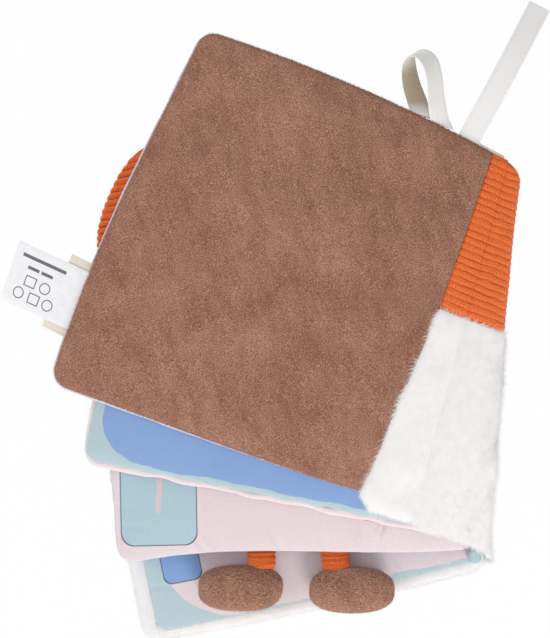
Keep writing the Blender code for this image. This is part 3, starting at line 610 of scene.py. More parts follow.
def makeTape(name, colour, shade, pitch, edge, width, roughness=0.6, paintedShade=None):
    # Woven tape: fine ribs across it and a tight selvedge line a little way in from each edge. The loop's
    # inner face has painted shade, darker and warmer, over a stretch of its length, given in millimetres.
    material, tree, surface = startMaterial(name, Roughness=roughness, Sheen_Weight=0.2)
    flat, x, y = clothPlace(tree)
    ribs = addNode(tree, "Math", (y, pitch / 2), operation="PINGPONG")
    fromMiddle = addNode(
        tree, "Math", (addNode(tree, "Math", (x, width / 2), operation="SUBTRACT"),), operation="ABSOLUTE"
    )
    fromLine = addNode(tree, "Math", (fromMiddle, width / 2 - edge), operation="SUBTRACT")
    groove = addNode(
        tree, "MapRange", (addNode(tree, "Math", (fromLine,), operation="ABSOLUTE"), 0.30, 0.05, 0.0, 0.35)
    )
    slub = addNode(tree, "TexNoise", {"Vector": flat, "Scale": 1 / 1.5})
    tone = addNode(tree, "Math", (slub, 0.3, groove), operation="MULTIPLY_ADD")
    cloth = addNode(tree, "Mix", {0: tone, 6: colour, 7: shade}, 2, data_type="RGBA")
    # Painted shade: over the given stretch the loop's inner face is mixed towards a darker, warmer beige
    if paintedShade:
        within = addNode(
            tree, "MapRange", (y, paintedShade[0], paintedShade[1])
        ), addNode(tree, "MapRange", (y, paintedShade[2], paintedShade[3], 1.0, 0.0))
        cloth = addNode(
            tree,
            "Mix",
            {0: addNode(tree, "Math", within, operation="MULTIPLY"), 6: cloth, 7: "#B5A58C"},
            2,
            data_type="RGBA",
        )
    height = addNode(
        tree,
        "Math",
        (addNode(tree, "Math", (ribs, 1 / pitch), operation="MULTIPLY"), groove),
        operation="SUBTRACT",
    )
    dress(tree, surface, cloth, height, 0.00012, 0.7)
    return material


def makeLabelSatin(name, colour, shade, ink, marks):
    # Polyester satin label, hot-cut: smooth with a faint warp line; plain bars, squares and rings are printed
    # on it
    material, tree, surface = startMaterial(name, Roughness=0.42, Specular_IOR_Level=0.45)
    flat, x, y = clothPlace(tree)
    printed = 0.0
    for kind, centreX, centreY, halfX, halfY in marks:
        corner = halfX if kind == "ring" else 0.12
        inside = insideBox(tree, x, y, (centreX, centreY), (halfX, halfY), corner, 0.08)
        if kind != "bar":
            hole = insideBox(
                tree, x, y, (centreX, centreY), (halfX - 0.5, halfY - 0.5), max(corner - 0.5, 0.1), 0.08
            )
            inside = addNode(tree, "Math", (inside, hole), operation="SUBTRACT")
        printed = addNode(tree, "Math", (inside, printed), operation="MAXIMUM")
    uneven = addNode(tree, "TexNoise", {"Vector": flat, "Scale": 1 / 4.0})
    satin = addNode(
        tree,
        "Mix",
        {0: addNode(tree, "MapRange", (uneven, 0.3, 0.7, 0.0, 0.4)), 6: colour, 7: shade},
        2,
        data_type="RGBA",
    )
    strong = addNode(tree, "Math", (printed, 0.92), operation="MULTIPLY")
    tone = addNode(tree, "Mix", {0: strong, 6: satin, 7: ink}, 2, data_type="RGBA")
    warp = addNode(tree, "Math", (x, 0.25), operation="PINGPONG")
    height = addNode(tree, "Math", (warp, 0.5, uneven), operation="MULTIPLY_ADD")
    dress(tree, surface, tone, height, 0.0004, 0.35)
    return material


def makeFilling(name, colour, shade, size, depth, **sockets):
    # Bonded polyester wadding, loose and white, or crinkly polypropylene film, milky with sharp little
    # creases
    material, tree, surface = startMaterial(name, **sockets)
    folds = addNode(
        tree, "TexNoise", {"Vector": piecePlace(tree), "Scale": 1 / size, "Detail": 4.0, "Roughness": 0.65}
    )
    tone = addNode(tree, "Mix", {0: folds, 6: colour, 7: shade}, 2, data_type="RGBA")
    dress(tree, surface, tone, folds, depth, 1.0)
    return material


teal, pink, blue, cream, ink = "#BBD2D8", "#EDDDE0", "#8AACDF", "#F2E3C4", "#3F4560"
labelMarks = [("bar", 14.1, 22.4, 10.4, 0.75), ("bar", 10.4, 18.0, 2.8, 0.7), ("bar", 17.0, 18.0, 2.8, 0.7)]
labelMarks += [("box", 10.9, 12.3, 2.7, 2.4), ("ring", 18.2, 12.1, 2.6, 2.6)]
labelMarks += [("ring", 7.3, 6.0, 2.6, 2.6), ("box", 15.0, 5.8, 2.7, 2.4), ("ring", 22.0, 5.8, 2.6, 2.6)]
looks = {
    "plush": makePlush("acrylic_plush_backing", "#F8F6F5", "#F2F0EE"),
    "plushFibre": makeFibre("acrylic_plush_pile", "#FDFAF9", "#F6F3F1", 0.004),
    "velour": makeVelour("brushed_polyester_velour", "#6A4131", "#895844", "#C5947C"),
    "footVelour": makeVelour("brushed_velour_feet", "#5A3528", "#8A5A45", "#C2937B", (0.5, 1, 1), 11.5),
    "velourFibre": makeFibre("polyester_velour_nap", "#8A5B48", "#A87A66", 0.0010),
    # The knit's dark orange is painted shade and its light orange a painted highlight
    "knit": makeKnit("acrylic_rib_knit", "#8C2C07", "#E05013", "#FB863C"),
    "lining": makePrint("printed_cotton_lining", "#A9C0C9"),
    "frontInside": makePrint(
        "printed_cotton_front_inside",
        teal,
        [
            dict(colour=pink, centre=(93, 84), half=(80, 79), radius=32, loose=True),
            dict(colour=teal, centre=(141, 4), half=(25, 4.9), radius=2.5, loose=True),
            dict(colour=blue, centre=(22, 46), half=(8.8, 21), radius=4.0, line=ink),
            dict(colour=teal, centre=(96, 110), half=(40, 26), radius=14, loose=True),
            dict(colour=cream, centre=(96, 110), half=(14, 14), radius=14),
        ],
    ),
    "lowerTop": makePrint(
        "printed_cotton_lower_page",
        pink,
        [
            dict(colour="#B5D0DB", centre=(19.5, 55), half=(17.0, 45.7), radius=6.0, line=ink),
            dict(colour="#E4CDD2", centre=(19.5, 60), half=(1.1, 36), radius=1.0, loose=True),
            dict(colour=blue, centre=(98, 96), half=(34, 34), radius=34, loose=True),
            dict(colour=cream, centre=(98, 96), half=(15, 15), radius=15),
        ],
    ),
    "lowerUnder": makePrint(
        "printed_cotton_lower_back_page",
        blue,
        [
            dict(colour=teal, centre=(84, 46), half=(60, 22), radius=20, loose=True),
            dict(colour=pink, centre=(60, 112), half=(22, 22), radius=22),
            dict(colour=pink, centre=(112, 112), half=(22, 22), radius=22),
        ],
    ),
    "upperTop": makePrint(
        "printed_cotton_upper_page",
        teal,
        [
            dict(colour=blue, centre=(89, 88), half=(83, 83.5), radius=20, loose=True),
            dict(colour="#C9C5BF", centre=(0, 162), half=(12, 22), radius=6, loose=True),
            dict(colour="#D8E4F2", centre=(96, 112), half=(30, 16), radius=15, loose=True),
            dict(colour="#E9742F", centre=(96, 70), half=(14, 14), radius=14),
        ],
    ),
    "upperUnder": makePrint(
        "printed_cotton_upper_back_page",
        pink,
        [
            dict(colour=teal, centre=(84, 84), half=(52, 50), radius=30, loose=True),
            dict(colour=blue, centre=(84, 84), half=(26, 24), radius=16),
        ],
    ),
    "backInside": makePrint(
        "printed_cotton_back_inside", "#D5CFDA",
        [dict(colour=pink, centre=(84, 84), half=(70, 70), radius=24, loose=True)]
    ),
    "pinkEdge": makePrint("rolled_cotton_edge_pink", "#F8E6E8"),
    "paleEdge": makePrint("rolled_cotton_edge_pale", "#E2DCEA"),
    "blueEdge": makePrint("rolled_cotton_edge_blue", "#A8B9E4"),
    "creamEdge": makePrint("turned_cotton_edge_cream", "#EFE9E2"),
    "fold": makePrint("plain_cotton_fold", "#E3CFD3"),
    "wadding": makeFilling("polyester_wadding", "#F4F4F2", "#D8D8D4", 0.0025, 0.002, Roughness=1.0),
    "film": makeFilling("crinkle_film_sheet", "#DDE1E6", "#C4C8CE", 0.006, 0.0015, Roughness=0.32, IOR=1.49),
    "ribbon": makeTape("cream_woven_ribbon", "#F7F6F5", "#E4E1DE", 0.7, 1.3, 10.0),
    # The loop ribbon has painted shade on its inner face, from 1 to 30 mm along it
    "loopRibbon": makeTape(
        "cream_woven_loop_ribbon", "#F5F3F0", "#DDD8D0", 0.7, 1.3, 10.0, paintedShade=(1, 7, 20, 30)
    ),
    "twill": makeTape("beige_cotton_twill_tape", "#F3EBDC", "#CFC2AA", 1.0, 1.0, 12.0, 0.85),
    "satin": makeLabelSatin("white_satin_label", "#FAFAFD", "#E6E6EA", "#4C4C52", labelMarks),
}
print("materials made")

# Leaves and covers


def settle(thing, body, slot, *nodes):
    # Rides on a body, or stays fixed where it is when body holds two names and two heights
    if isinstance(body, str):
        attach(thing, body)
    else:
        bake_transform(thing)
    if nodes:
        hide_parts(*nodes)
    return thing


def ribCrown(y, pitch=0.003):
    # Nought between two ribs and one on the crown of a rib
    return 1 - np.abs((y / pitch) % 1 * 2 - 1)


def page(name, leaf, side, look, body, slot, nodes, seed, **spec):
    # One cloth face of a leaf. Height above the seam: cloth roll(d) + swell share(d) + relief, where d is the
    # distance from the rim, roll is a quarter round about as wide as the cloth is thick, and share one 24 mm
    # wide. beyond and seams give, for the left, right, bottom and top, how far the true rim lies outside a
    # sewn side, and how deep the cloth dips into that seam.
    s = {
        "cloth": 0.0008,
        "roll": 0.0010,
        "swell": book["swell"],
        "step": 0.0016,
        "insets": None,
        "relief": None,
    }
    s.update(
        {"wave": 0.00032, "waveLength": 0.045, "scallop": 0.0, "lift": 0.0003, "puckers": None, "chosen": ()}
    )
    s.update({"beyond": (0, 0, 0, 0), "seams": (0, 0, 0, 0), "openSide": None, "creases": ()})
    s.update(spec)
    shape = shrunk(leaf, s["insets"]) if s["insets"] else leaf
    wide, tall = np.ptp(np.array(shape["corners"]), axis=0)
    u, v = spacing(wide, s["step"]), spacing(tall, s.get("stepY", s["step"]))
    flat = leafGrid(shape, u, v)
    a, b = np.meshgrid(u, v, indexing="ij")
    sides = [a * wide, (1 - a) * wide, b * tall, (1 - b) * tall]
    past = [part + more + 1e-7 for part, more in zip(sides, s["beyond"])]
    rim = sum(part**-4 for part in past) ** -0.25
    rollRim = sum(part**-4 for k, part in enumerate(past) if k != s["openSide"]) ** -0.25
    if s["scallop"]:
        middle = flat.mean(axis=(0, 1))
        away = (flat - middle) / np.linalg.norm(flat - middle, axis=2, keepdims=True)
        waves = ripples(flat[..., 0], flat[..., 1], seed + 50, 0.016) * np.exp(-rim / 0.004)
        flat = flat + away * (waves * s["scallop"])[..., None]
    roll = roundUp(rollRim / s["roll"])
    rise = s["cloth"] * roll + s["swell"] * roundUp(rim / book["swellReach"])
    rise = rise + s["wave"] * ripples(
        flat[..., 0], flat[..., 1], seed, s["waveLength"]
    ) * np.clip(rim / 0.012, 0, 1)
    rise = rise - sum(depth * np.exp(-part / 0.0011) for part, depth in zip(sides, s["seams"]) if depth)
    if s["puckers"]:
        rise = rise + puckerRelief(flat, shape, rim, s["puckers"], seed + 9, s["chosen"])
    rise = rise + dents(flat, s["creases"])
    if s["relief"] is not None:
        rise = rise + s["relief"](flat, rollRim)
    rise = np.maximum(rise, 0)
    inner = np.maximum(rise - s["cloth"] * np.clip(roll, 0.08, 1), 0)
    top = toBook(np.dstack([flat, leaf["seam"] + side * (s["lift"] + rise)]), leaf)
    under = toBook(np.dstack([flat, leaf["seam"] + side * (s["lift"] * 0.2 + inner)]), leaf)
    thing = settle(shell(name, top, under, looks[look], flat / 0.1), body, slot, *nodes)
    return thing, top, flat, rim


def ribs(flat, rim):
    # Ribs run across the leaf; they die out where the cloth rolls under
    return ribDepth * (np.sqrt(ribCrown(flat[..., 1])) - 1) * np.clip(rim / 0.0015, 0, 1)


def filling(body, leaf, swellLow, swellHigh, seed):
    # The crinkle film lies on the lower cloth with folded creases, and the wadding fills the rest
    shape = shrunk(leaf, [0.005] * len(leaf["corners"]))
    u = v = np.linspace(0, 1, 60)
    flat = leafGrid(shape, u, v)
    share = roundUp((rimDistance(u, v, 0.155, 0.15) + 0.005) / book["swellReach"])
    crease = np.abs(ripples(flat[..., 0], flat[..., 1], seed, 0.012)) * 0.00025
    low = leaf["seam"] - swellLow * share + 0.0004
    film, filmUnder = [toBook(np.dstack([flat, low + crease + more]), leaf) for more in (0.0002, 0)]
    sheet = shell(body + "_crinkle_sheet", film, filmUnder, looks["film"], flat / 0.1)
    settle(sheet, body, "crinkle_film", body + "_crinkle_film")
    loft = 0.0003 * np.abs(ripples(flat[..., 0], flat[..., 1], seed + 3, 0.008))
    bottom = low + 0.0009
    top = np.maximum(leaf["seam"] + swellHigh * share - 0.0004 - loft, bottom + 0.0001)
    upper, lower = [toBook(np.dstack([flat, level]), leaf) for level in (top, bottom)]
    pad = settle(
        shell(body + "_pad", upper, lower, looks["wadding"], flat / 0.1), body, "wadding", body + "_wadding"
    )
    return pad


def roundBody(name, rings, material, unroll=(1.0, 1.0)):
    # A closed body through rings of points, with a point at each end; the UV map is unrolled at a seam
    rows, columns = rings.shape[:2]
    centres = rings.mean(axis=1)
    points = np.concatenate([rings.reshape(-1, 3), centres[:1], centres[-1:]])
    i, j = np.meshgrid(np.arange(rows - 1), np.arange(columns), indexing="ij")
    ahead = (j + 1) % columns
    a, b, c, d = i * columns + j, (i + 1) * columns + j, (i + 1) * columns + ahead, i * columns + ahead
    ends = np.arange(columns)
    last = (rows - 1) * columns
    caps = [np.stack([ends * 0 + len(points) - 2, ends, (ends + 1) % columns], -1)]
    caps.append(np.stack([ends * 0 + len(points) - 1, last + (ends + 1) % columns, last + ends], -1))
    faces = np.concatenate(
        [np.stack([a, b, c], -1).reshape(-1, 3), np.stack([a, c, d], -1).reshape(-1, 3), *caps]
    )
    along = np.concatenate([[0], np.cumsum(np.linalg.norm(np.diff(centres, axis=0), axis=1))]) * unroll[1]
    around = np.linalg.norm(np.diff(rings[rows // 2], axis=0), axis=1).sum() * unroll[0]
    x0, x1, y0, y1 = j / columns * around, (j + 1) / columns * around, along[i], along[i + 1]
    first = np.stack(
        [np.stack([x0, y0], -1), np.stack([x0, y1], -1), np.stack([x1, y1], -1)], -2
    ).reshape(-1, 3, 2)
    second = np.stack(
        [np.stack([x0, y0], -1), np.stack([x1, y1], -1), np.stack([x1, y0], -1)], -2
    ).reshape(-1, 3, 2)
    capX = np.stack([(ends + 0.5), ends, ends + 1], -1) / columns * around
    capUv = []
    for level, gap in ((along[0], -0.001), (along[-1], 0.001)):
        capUv.append(np.stack([capX, np.broadcast_to([level + gap, level, level], (columns, 3))], -1))
    capUv[1] = capUv[1][:, [0, 2, 1]]
    return meshPiece(name, points, faces, material, cornerUv=np.concatenate([first, second, *capUv]) / 0.1)


def rollRound(name, path, widths, reach, height, material):
    # Cloth turned over an edge: a flattened round swept along the edge, its middle at half its reach inward
    step = np.gradient(path[:, :2], axis=0)
    step = step / np.linalg.norm(step, axis=1, keepdims=True)
    inward = np.stack([-step[:, 1], step[:, 0]], axis=-1)
    angles = np.linspace(0, 2 * np.pi, 20, endpoint=False)
    out = np.cos(angles)[None, :, None] * (reach / 2 * widths)[:, None, None]
    centre = path[:, None, :2] + inward[:, None] * reach / 2
    up = np.sin(angles)[None] * (height / 2 * widths)[:, None] + path[:, None, 2]
    rings = np.dstack([centre + inward[:, None] * out, up])
    return roundBody(name, rings, material), rings


def seamRoll(name, leaf, line, look, body, slot, seed, out, reach, height, level, wobble, count=420):
    # The lower page's edge, rolled by its seam: it wanders in and out by the wobble and swells a little as it
    # goes
    shares = np.linspace(0.004, 0.996, count)
    flat = resample(line, shares)
    step = np.gradient(flat, axis=0)
    step = step / np.linalg.norm(step, axis=1, keepdims=True)
    outward = np.stack([step[:, 1], -step[:, 0]], axis=-1)
    wander = ripples(flat[:, 0], flat[:, 1], seed, 0.016)
    flat = flat + outward * (out + wobble * wander)[:, None]
    path = toBook(np.column_stack([flat, np.full(count, leaf["seam"] + level)]), leaf)
    ends = roundUp(np.minimum(np.arange(count), np.arange(count)[::-1]) / 5 + 0.1)
    widths = ends * (1 + 0.12 * ripples(flat[:, 0], flat[:, 1], seed + 1, 0.022))
    return settle(rollRound(name, path, widths, reach, height, looks[look])[0], body, slot)


for bodyName, leafShape, lowSwell, number in (
    ("front_cover", frontCover, 0.0016, 71),
    ("lower_leaf", lowerLeaf, 0.0025, 72),
    ("upper_leaf", upperLeaf, 0.0025, 73),
    ("back_cover", backCover, 0.0025, 74),
):
    filling(bodyName, leafShape, lowSwell, 0.0025, number)
print("fillings made")

cottonPuckers = {"perSide": 7, "depth": 0.00048, "width": 0.0016, "reach": 0.010}
pages = {
    "lower_leaf_top_page": dict(
        nodes=["lower_leaf_upper_page"],
        leaf=lowerLeaf,
        side=1,
        look="lowerTop",
        slot="pink_cotton",
        body="lower_leaf",
        seed=11,
        step=0.0012,
        puckers=cottonPuckers,
        chosen=[(0, 0.86, 1.2, 1.0, 1.2, 0.1), (0, 0.74, 0.8, 1.6, 1.5, 0.2), (0, 0.47, 0.7, 1.2, 1.2, -0.4)],
        creases=[(120.6, 14.3, 72, 6, 1.0, 2.2), (107.6, 11.3, 95, 5, 0.9, 1.5), (39, 8, -50, 6, 1.4, 1.0)],
    ),
    "lower_leaf_back_page": dict(
        nodes=["lower_leaf_underside_page"],
        leaf=lowerLeaf,
        side=-1,
        look="lowerUnder",
        slot="blue_cotton",
        body="lower_leaf",
        seed=21,
        step=0.0022,
        puckers=cottonPuckers,
    ),
    "upper_leaf_top_page": dict(
        nodes=["upper_leaf_upper_page"],
        leaf=upperLeaf,
        side=1,
        look="upperTop",
        slot="blue_cotton",
        body="upper_leaf",
        seed=31,
        puckers=cottonPuckers,
        insets=[0.0019, 0, 0, 0.0008],
        scallop=0.0003,
        creases=[(30, 4, 60, 4, 1.2, 0.5), (58, 5, 100, 4, 1.2, 0.5), (140, 6, 80, 5, 1.2, 0.6)],
    ),
    "upper_leaf_back_page": dict(
        nodes=["upper_leaf_underside_page"],
        leaf=upperLeaf,
        side=-1,
        look="upperUnder",
        slot="pink_cotton",
        body="upper_leaf",
        seed=41,
        puckers=cottonPuckers,
        step=0.0022,
        scallop=0.0003,
        lift=0.0001,
    ),
    "front_cover_inside_page": dict(
        nodes=["front_cover_lining"],
        leaf=frontPage,
        side=1,
        look="frontInside",
        slot="teal_cotton",
        body="front_cover",
        seed=51,
        step=0.0012,
        puckers=cottonPuckers,
        creases=[
            (118.3, 11.4, -64, 8, 0.9, 1.8),
            (143, 9.7, -77, 5, 0.8, 1.2),
            (137.5, 12, 0, 6, 5, 0.5),
            (60, 7, 80, 5, 1.3, 0.5),
        ],
    ),
    "back_cover_inside_page": dict(
        nodes=["back_cover_lining"],
        leaf=backCover,
        side=-1,
        look="backInside",
        slot="teal_cotton",
        body="back_cover",
        seed=61,
        puckers=cottonPuckers,
        step=0.0022,
    ),
}
# Edges rolled by their seams, which show below the page that they belong to
rolls = {
    "upper_leaf_back_page": dict(
        leaf=upperLeaf, look="pinkEdge", slot="pink_cotton", seed=141, out=0.0005, reach=0.0030,
        height=0.0018, level=-0.0001, wobble=0.00034
    ),
    "lower_leaf_back_page": dict(
        leaf=lowerLeaf, look="blueEdge", slot="blue_cotton", seed=142, out=0.0003, reach=0.0010,
        height=0.0008, level=-0.0005, wobble=0.0001
    ),
    "back_cover_inside_page": dict(
        leaf=backCover, look="paleEdge", slot="teal_cotton", seed=143, out=0.0014, reach=0.0020,
        height=0.0012, level=-0.0004, wobble=0.00008
    ),
}
for pieceName, settings in pages.items():
    cotton = page(pieceName, **settings)[0]
    if pieceName in rolls:
        bottomSide, _, _, leftSide = leafSides(settings["leaf"])
        line = np.concatenate([leftSide[::-1], bottomSide[1:]])
        seamRoll(pieceName + "_rolled_edge", line=line, body=settings["body"], **rolls[pieceName])
    if pieceName == "back_cover_inside_page":
        top = resample(leafSides(backCover)[2][::-1], np.linspace(0.012, 0.105, 60))
        turned = dict(out=0.0009, reach=0.0017, height=0.0018, level=0.0006, wobble=0.0001, count=120)
        seamRoll(
                "back_cover_turned_top_edge",
                backCover,
                top,
                "creamEdge",
                "back_cover",
                "teal_cotton",
                144,
                **turned,
            )
print("cotton pages made")

# The cover's outside: velour panel, knit and plush strips on the back; plush and knit on the front
hingeLow, hingeHigh = backCover["corners"][2:4]
hingeSlant = (hingeHigh[0] - hingeLow[0]) / (hingeHigh[1] - hingeLow[1])


def hingeX(y):
    return hingeLow[0] + hingeSlant * (y - hingeLow[1])


knee = (stripSeamX + 0.0024, stripSeamY + 0.0022)  # the velour's seam bends where the knit meets the plush
plushEndY = 0.0012  # the plush strip's own lower end at the hinge
velourPanel = {
    **backCover,
    "corners": [(0, 0), (stripSeamX, 0.0050), knee, (stripSeamX, topAtSeam), backCover["corners"][4]],
}
velourPanel.update(radii=[r, 0.0004, 0.02, 0.0004, r], sides=[[0], [1, 2], [3], [4]])
velourPanel.update(bulges=[lowBulge, (0, even), (0, even), (0.0030, even), foreBulge])
plushCorners = [
    (stripSeamX, 0.0050), (0.1520, -0.0010), (hingeX(plushEndY), plushEndY), (hingeX(knee[1]), knee[1]), knee
]
plushStrip = {**backCover, "corners": plushCorners, "radii": [0.0004, 0.003, 0.0004, 0.0002, 0.0004]}
plushStrip.update(sides=[[0, 1], [2], [3], [4]], bulges=[(0, even)] * 5)
knitStrip = {**backCover, "corners": [knee, (hingeX(knee[1]), knee[1]), hingeHigh, (stripSeamX, topAtSeam)]}
knitStrip.update(radii=[0.0004, 0.0002, 0.0006, 0.0004], sides=[[0], [1], [2], [3]], bulges=[(0, even)] * 4)

thick = {"cloth": 0.0024, "roll": 0.0024, "lift": 0.0003}
velour, velourTop, _, velourRim = page(
    "back_cover_velour_face", velourPanel, 1, "velour", "back_cover", "brown_velour",
    ["back_cover_velour_panel"], 81,
    **thick, beyond=(0, 0.02, 0, 0), seams=(0, 0.0012, 0, 0), wave=0.0005, waveLength=0.05, step=0.0013,
    puckers={"perSide": 5, "depth": 0.0003, "width": 0.003, "reach": 0.016},
)
# Nap that stands out past the rim, in two lengths of lay so that the outline is soft
napRim = {
    "perSquareMm": 20,
    "length": 0.0011,
    "thickness": 0.00014,
    "sunk": 0.0003,
    "tilt": 50,
    "tiltSpread": 20,
    "layAngle": 200,
    "swirl": 60,
    "swirlLength": 0.02,
    "stray": 60,
    "glow": 1.2,
}
nap = pile(
    "back_cover_velour_rim_nap",
    [(velourTop, 1, napRim, 82, np.exp(-((velourRim / 0.0016) ** 2)))],
    looks["velourFibre"],
)
settle(nap, "back_cover", "brown_velour")

knitFace = page(
    "back_cover_knit_face", knitStrip, 1, "knit", "back_cover", "orange_rib_knit", ["back_cover_knit_strip"],
    83,
    **thick, beyond=(0.14, 0, 0.08, 0), seams=(0.0010, 0, 0.0010, 0), wave=0.0001, step=0.0010, stepY=0.00036,
    relief=ribs, openSide=1,
)[0]

# Pile: long fibres combed down and a little to the left; some lie over the seams and hang past the lower end
whitePile = {
    "perSquareMm": 8,
    "length": 0.0038,
    "thickness": 0.00022,
    "sunk": 0.0004,
    "tilt": 76,
    "tiltSpread": 7,
    "layAngle": 241,
    "swirl": 32,
    "swirlLength": 0.018,
    "stray": 18,
    "glow": 0.9,
}
overSeam = {
    **whitePile, "perSquareMm": 18, "length": 0.0044, "tilt": 56, "layAngle": 205, "swirl": 40, "stray": 24
}
overKnit = {
    **whitePile, "perSquareMm": 14, "length": 0.0028, "tilt": 52, "layAngle": 62, "swirl": 40, "stray": 34
}
hanging = {
    **whitePile, "perSquareMm": 16, "length": 0.0046, "tilt": 66, "layAngle": 246, "swirl": 26, "stray": 20
}
plushFace, plushTop, _, _ = page(
    "back_cover_plush_face", plushStrip, 1, "plush", "back_cover", "white_plush", ["back_cover_plush_strip"],
    84,
    **thick, beyond=(0.14, 0, 0, 0.08), seams=(0.0008, 0, 0, 0.0008), wave=0.0004, waveLength=0.02,
    step=0.0012, openSide=1,
)
columns, rows = [np.linspace(0, 1, count) for count in plushTop.shape[:2]]
fromSeam, fromEnd = columns[:, None] + 0 * rows, rows + 0 * columns[:, None]
jobs = [
    (plushTop, 1, whitePile, 85, None),
    (plushTop, 1, overSeam, 185, np.exp(-fromSeam / 0.08)),
    (plushTop, 1, overKnit, 186, np.exp(-(1 - fromEnd) / 0.015)),
    (plushTop, 1, hanging, 187, np.exp(-fromEnd / 0.018)),
    (plushTop, 1, {**whitePile, "layAngle": 285, "stray": 26}, 188, np.exp(-(1 - fromSeam) / 0.06)),
]
stripPile = settle(pile("back_cover_plush_pile", jobs, looks["plushFibre"]), "back_cover", "white_plush")

cornerA, cornerB = frontCover["corners"][:2]
frontPlush = {**frontCover, "corners": [cornerA, cornerB, (w, coverSeamY), (0, coverSeamY)]}
frontPlush.update(radii=[r, frontCover["radii"][1], 0.0004, 0.0004])
frontKnit = {
    **frontCover,
    "corners": [(0, coverSeamY), (w, coverSeamY), (w, h), (0, h)],
    "radii": [0.0004, 0.0004, r, r],
}
frontKnit.update(bulges=[(0, even)] * 4)
under = {"cloth": 0.0024, "roll": 0.0024, "lift": 0.0, "swell": 0.0018}
outsidePlush, plushUnder, _, _ = page(
    "front_cover_plush_face", frontPlush, -1, "plush", "front_cover", "white_plush",
    ["front_cover_plush_panel"], 91,
    **under, beyond=(0, 0, 0, 0.07), seams=(0, 0, 0, 0.0008), wave=0.0001, step=0.0020, openSide=1,
)
outsideKnit = page(
    "front_cover_knit_face", frontKnit, -1, "knit", "front_cover", "orange_rib_knit",
    ["front_cover_knit_panel"], 92,
    **under, beyond=(0, 0, 0.09, 0), seams=(0, 0, 0.0008, 0), wave=0.0001, step=0.0030, stepY=0.0005,
    relief=ribs, openSide=1,
)[0]
bottomSide, rightSide, topSide, leftSide = leafSides(frontCover)
wholeEdge = np.concatenate([topSide[::-1], leftSide[::-1][1:], bottomSide[1:], rightSide[1:14]])
edgeLengths = np.concatenate([[0], np.cumsum(np.linalg.norm(np.diff(wholeEdge, axis=0), axis=1))])
downLeft = len(topSide) + len(leftSide) - 10
meet = float(np.interp(-coverSeamY, -wholeEdge[:downLeft, 1], edgeLengths[:downLeft]))
lips = []
for lipName, begin, finish, look, slot in (
    ("front_cover_knit_edge", 0.004, meet - 0.0002, "knit", "orange_rib_knit"),
    ("front_cover_plush_edge", meet + 0.0002, edgeLengths[-1], "plush", "white_plush"),
):
    line = resample(wholeEdge, np.linspace(begin, finish, lipSteps) / edgeLengths[-1])
    line[:, 0] -= 0.0015 * np.exp(-((line[:, 0] / 0.012) ** 2))
    path = toBook(np.column_stack([line, np.full(lipSteps, 0.0048)]), frontCover)
    widths = roundUp(np.minimum(np.arange(lipSteps), np.arange(lipSteps)[::-1]) / 4 + 0.1)
    lip, rings = rollRound(lipName, path, widths, 0.0064, 0.0036, looks[look])
    lips.append((settle(lip, "front_cover", slot), rings))
edgePile = {
    **whitePile,
    "perSquareMm": 8.5,
    "length": 0.0025,
    "tilt": 56,
    "tiltSpread": 16,
    "stray": 40,
    "layAngle": 262,
}
lipGrid = np.concatenate([lips[1][1], lips[1][1][:, :1]], axis=1)
lipPile = settle(
    pile("front_cover_edge_pile", [(lipGrid, -1, edgePile, 93, None)], looks["plushFibre"]),
    "front_cover",
    "white_plush",
)
underPile = {
    **whitePile,
    "glow": 0.0,
    "perSquareMm": 3,
    "thickness": 0.00034,
    "length": 0.0030,
    "tilt": 80,
    "tiltSpread": 4,
}
underFibres = settle(
    pile("front_cover_pile", [(plushUnder, -1, underPile, 94, None)], looks["plushFibre"]),
    "front_cover",
    "white_plush",
)
print("covers made")

# Spine and inner fold

# Handles in metres at five shares of the hinge, from its lower to its upper end
spine = {
    "upperHandles": [0.0130, 0.0245, 0.0290, 0.0254, 0.0162],
    "lowerHandles": [0.0030, 0.0165, 0.0182, 0.0155, 0.0130],
    "upperTurn": backCover["turn"],
    "upperTwist": -12.0,
    "lowerTurn": -6.0,
    "high": 0.0316,
    "low": 0.0055,
    "topEnds": [(hingeLow[0] - 0.0001, hingeLow[1] + 0.0006), (hingeHigh[0] + 0.0001, hingeHigh[1] - 0.0006)],
    "bottomEnds": [(w - 0.0046, 0.0058), (w, h - r)],
}
dense = np.linspace(0, 1, 181)


def between(ends, shares):
    return np.array(ends[0]) * (1 - shares) + np.array(ends[1]) * shares


def heading(degrees):
    return np.concatenate([np.cos(np.radians(degrees)), np.sin(np.radians(degrees))], axis=-1)


def spineGrid(shares):
    # Each row is a cubic curve from the back cover's hinge edge to the front cover's, level at both ends:
    # (1-u)^3 a + 3u(1-u)^2 (a + handle) + 3u^2(1-u) (b + handle) + u^3 b
    u, s = dense[None, :, None], shares[..., None]
    a, b = toBook(
        between(spine["topEnds"], s), backCover
    ), toBook(between(spine["bottomEnds"], s), frontCover)
    places = np.linspace(0, 1, 5)
    upper, lower = [np.interp(s, places, spine[key]) for key in ("upperHandles", "lowerHandles")]
    first = a + heading(spine["upperTurn"] + spine["upperTwist"] * s) * upper
    last = b + heading(spine["lowerTurn"] + 0 * s) * lower
    flat = (1 - u) ** 3 * a + 3 * u * (1 - u) ** 2 * first + 3 * u * u * (1 - u) * last + u**3 * b
    weight = ((1 - dense) ** 3 + 3 * dense * (1 - dense) ** 2)[None] + 0 * shares
    return np.dstack([flat, weight * spine["high"] + (1 - weight) * spine["low"]])


def facingOut(grid):
    normals = -np.cross(np.gradient(grid, axis=0), np.gradient(grid, axis=1))
    normals[:, 0] = (0, 0, 1)
    normals[:, -1] = (0, 0, -1)
    return normals / np.linalg.norm(normals, axis=2, keepdims=True)


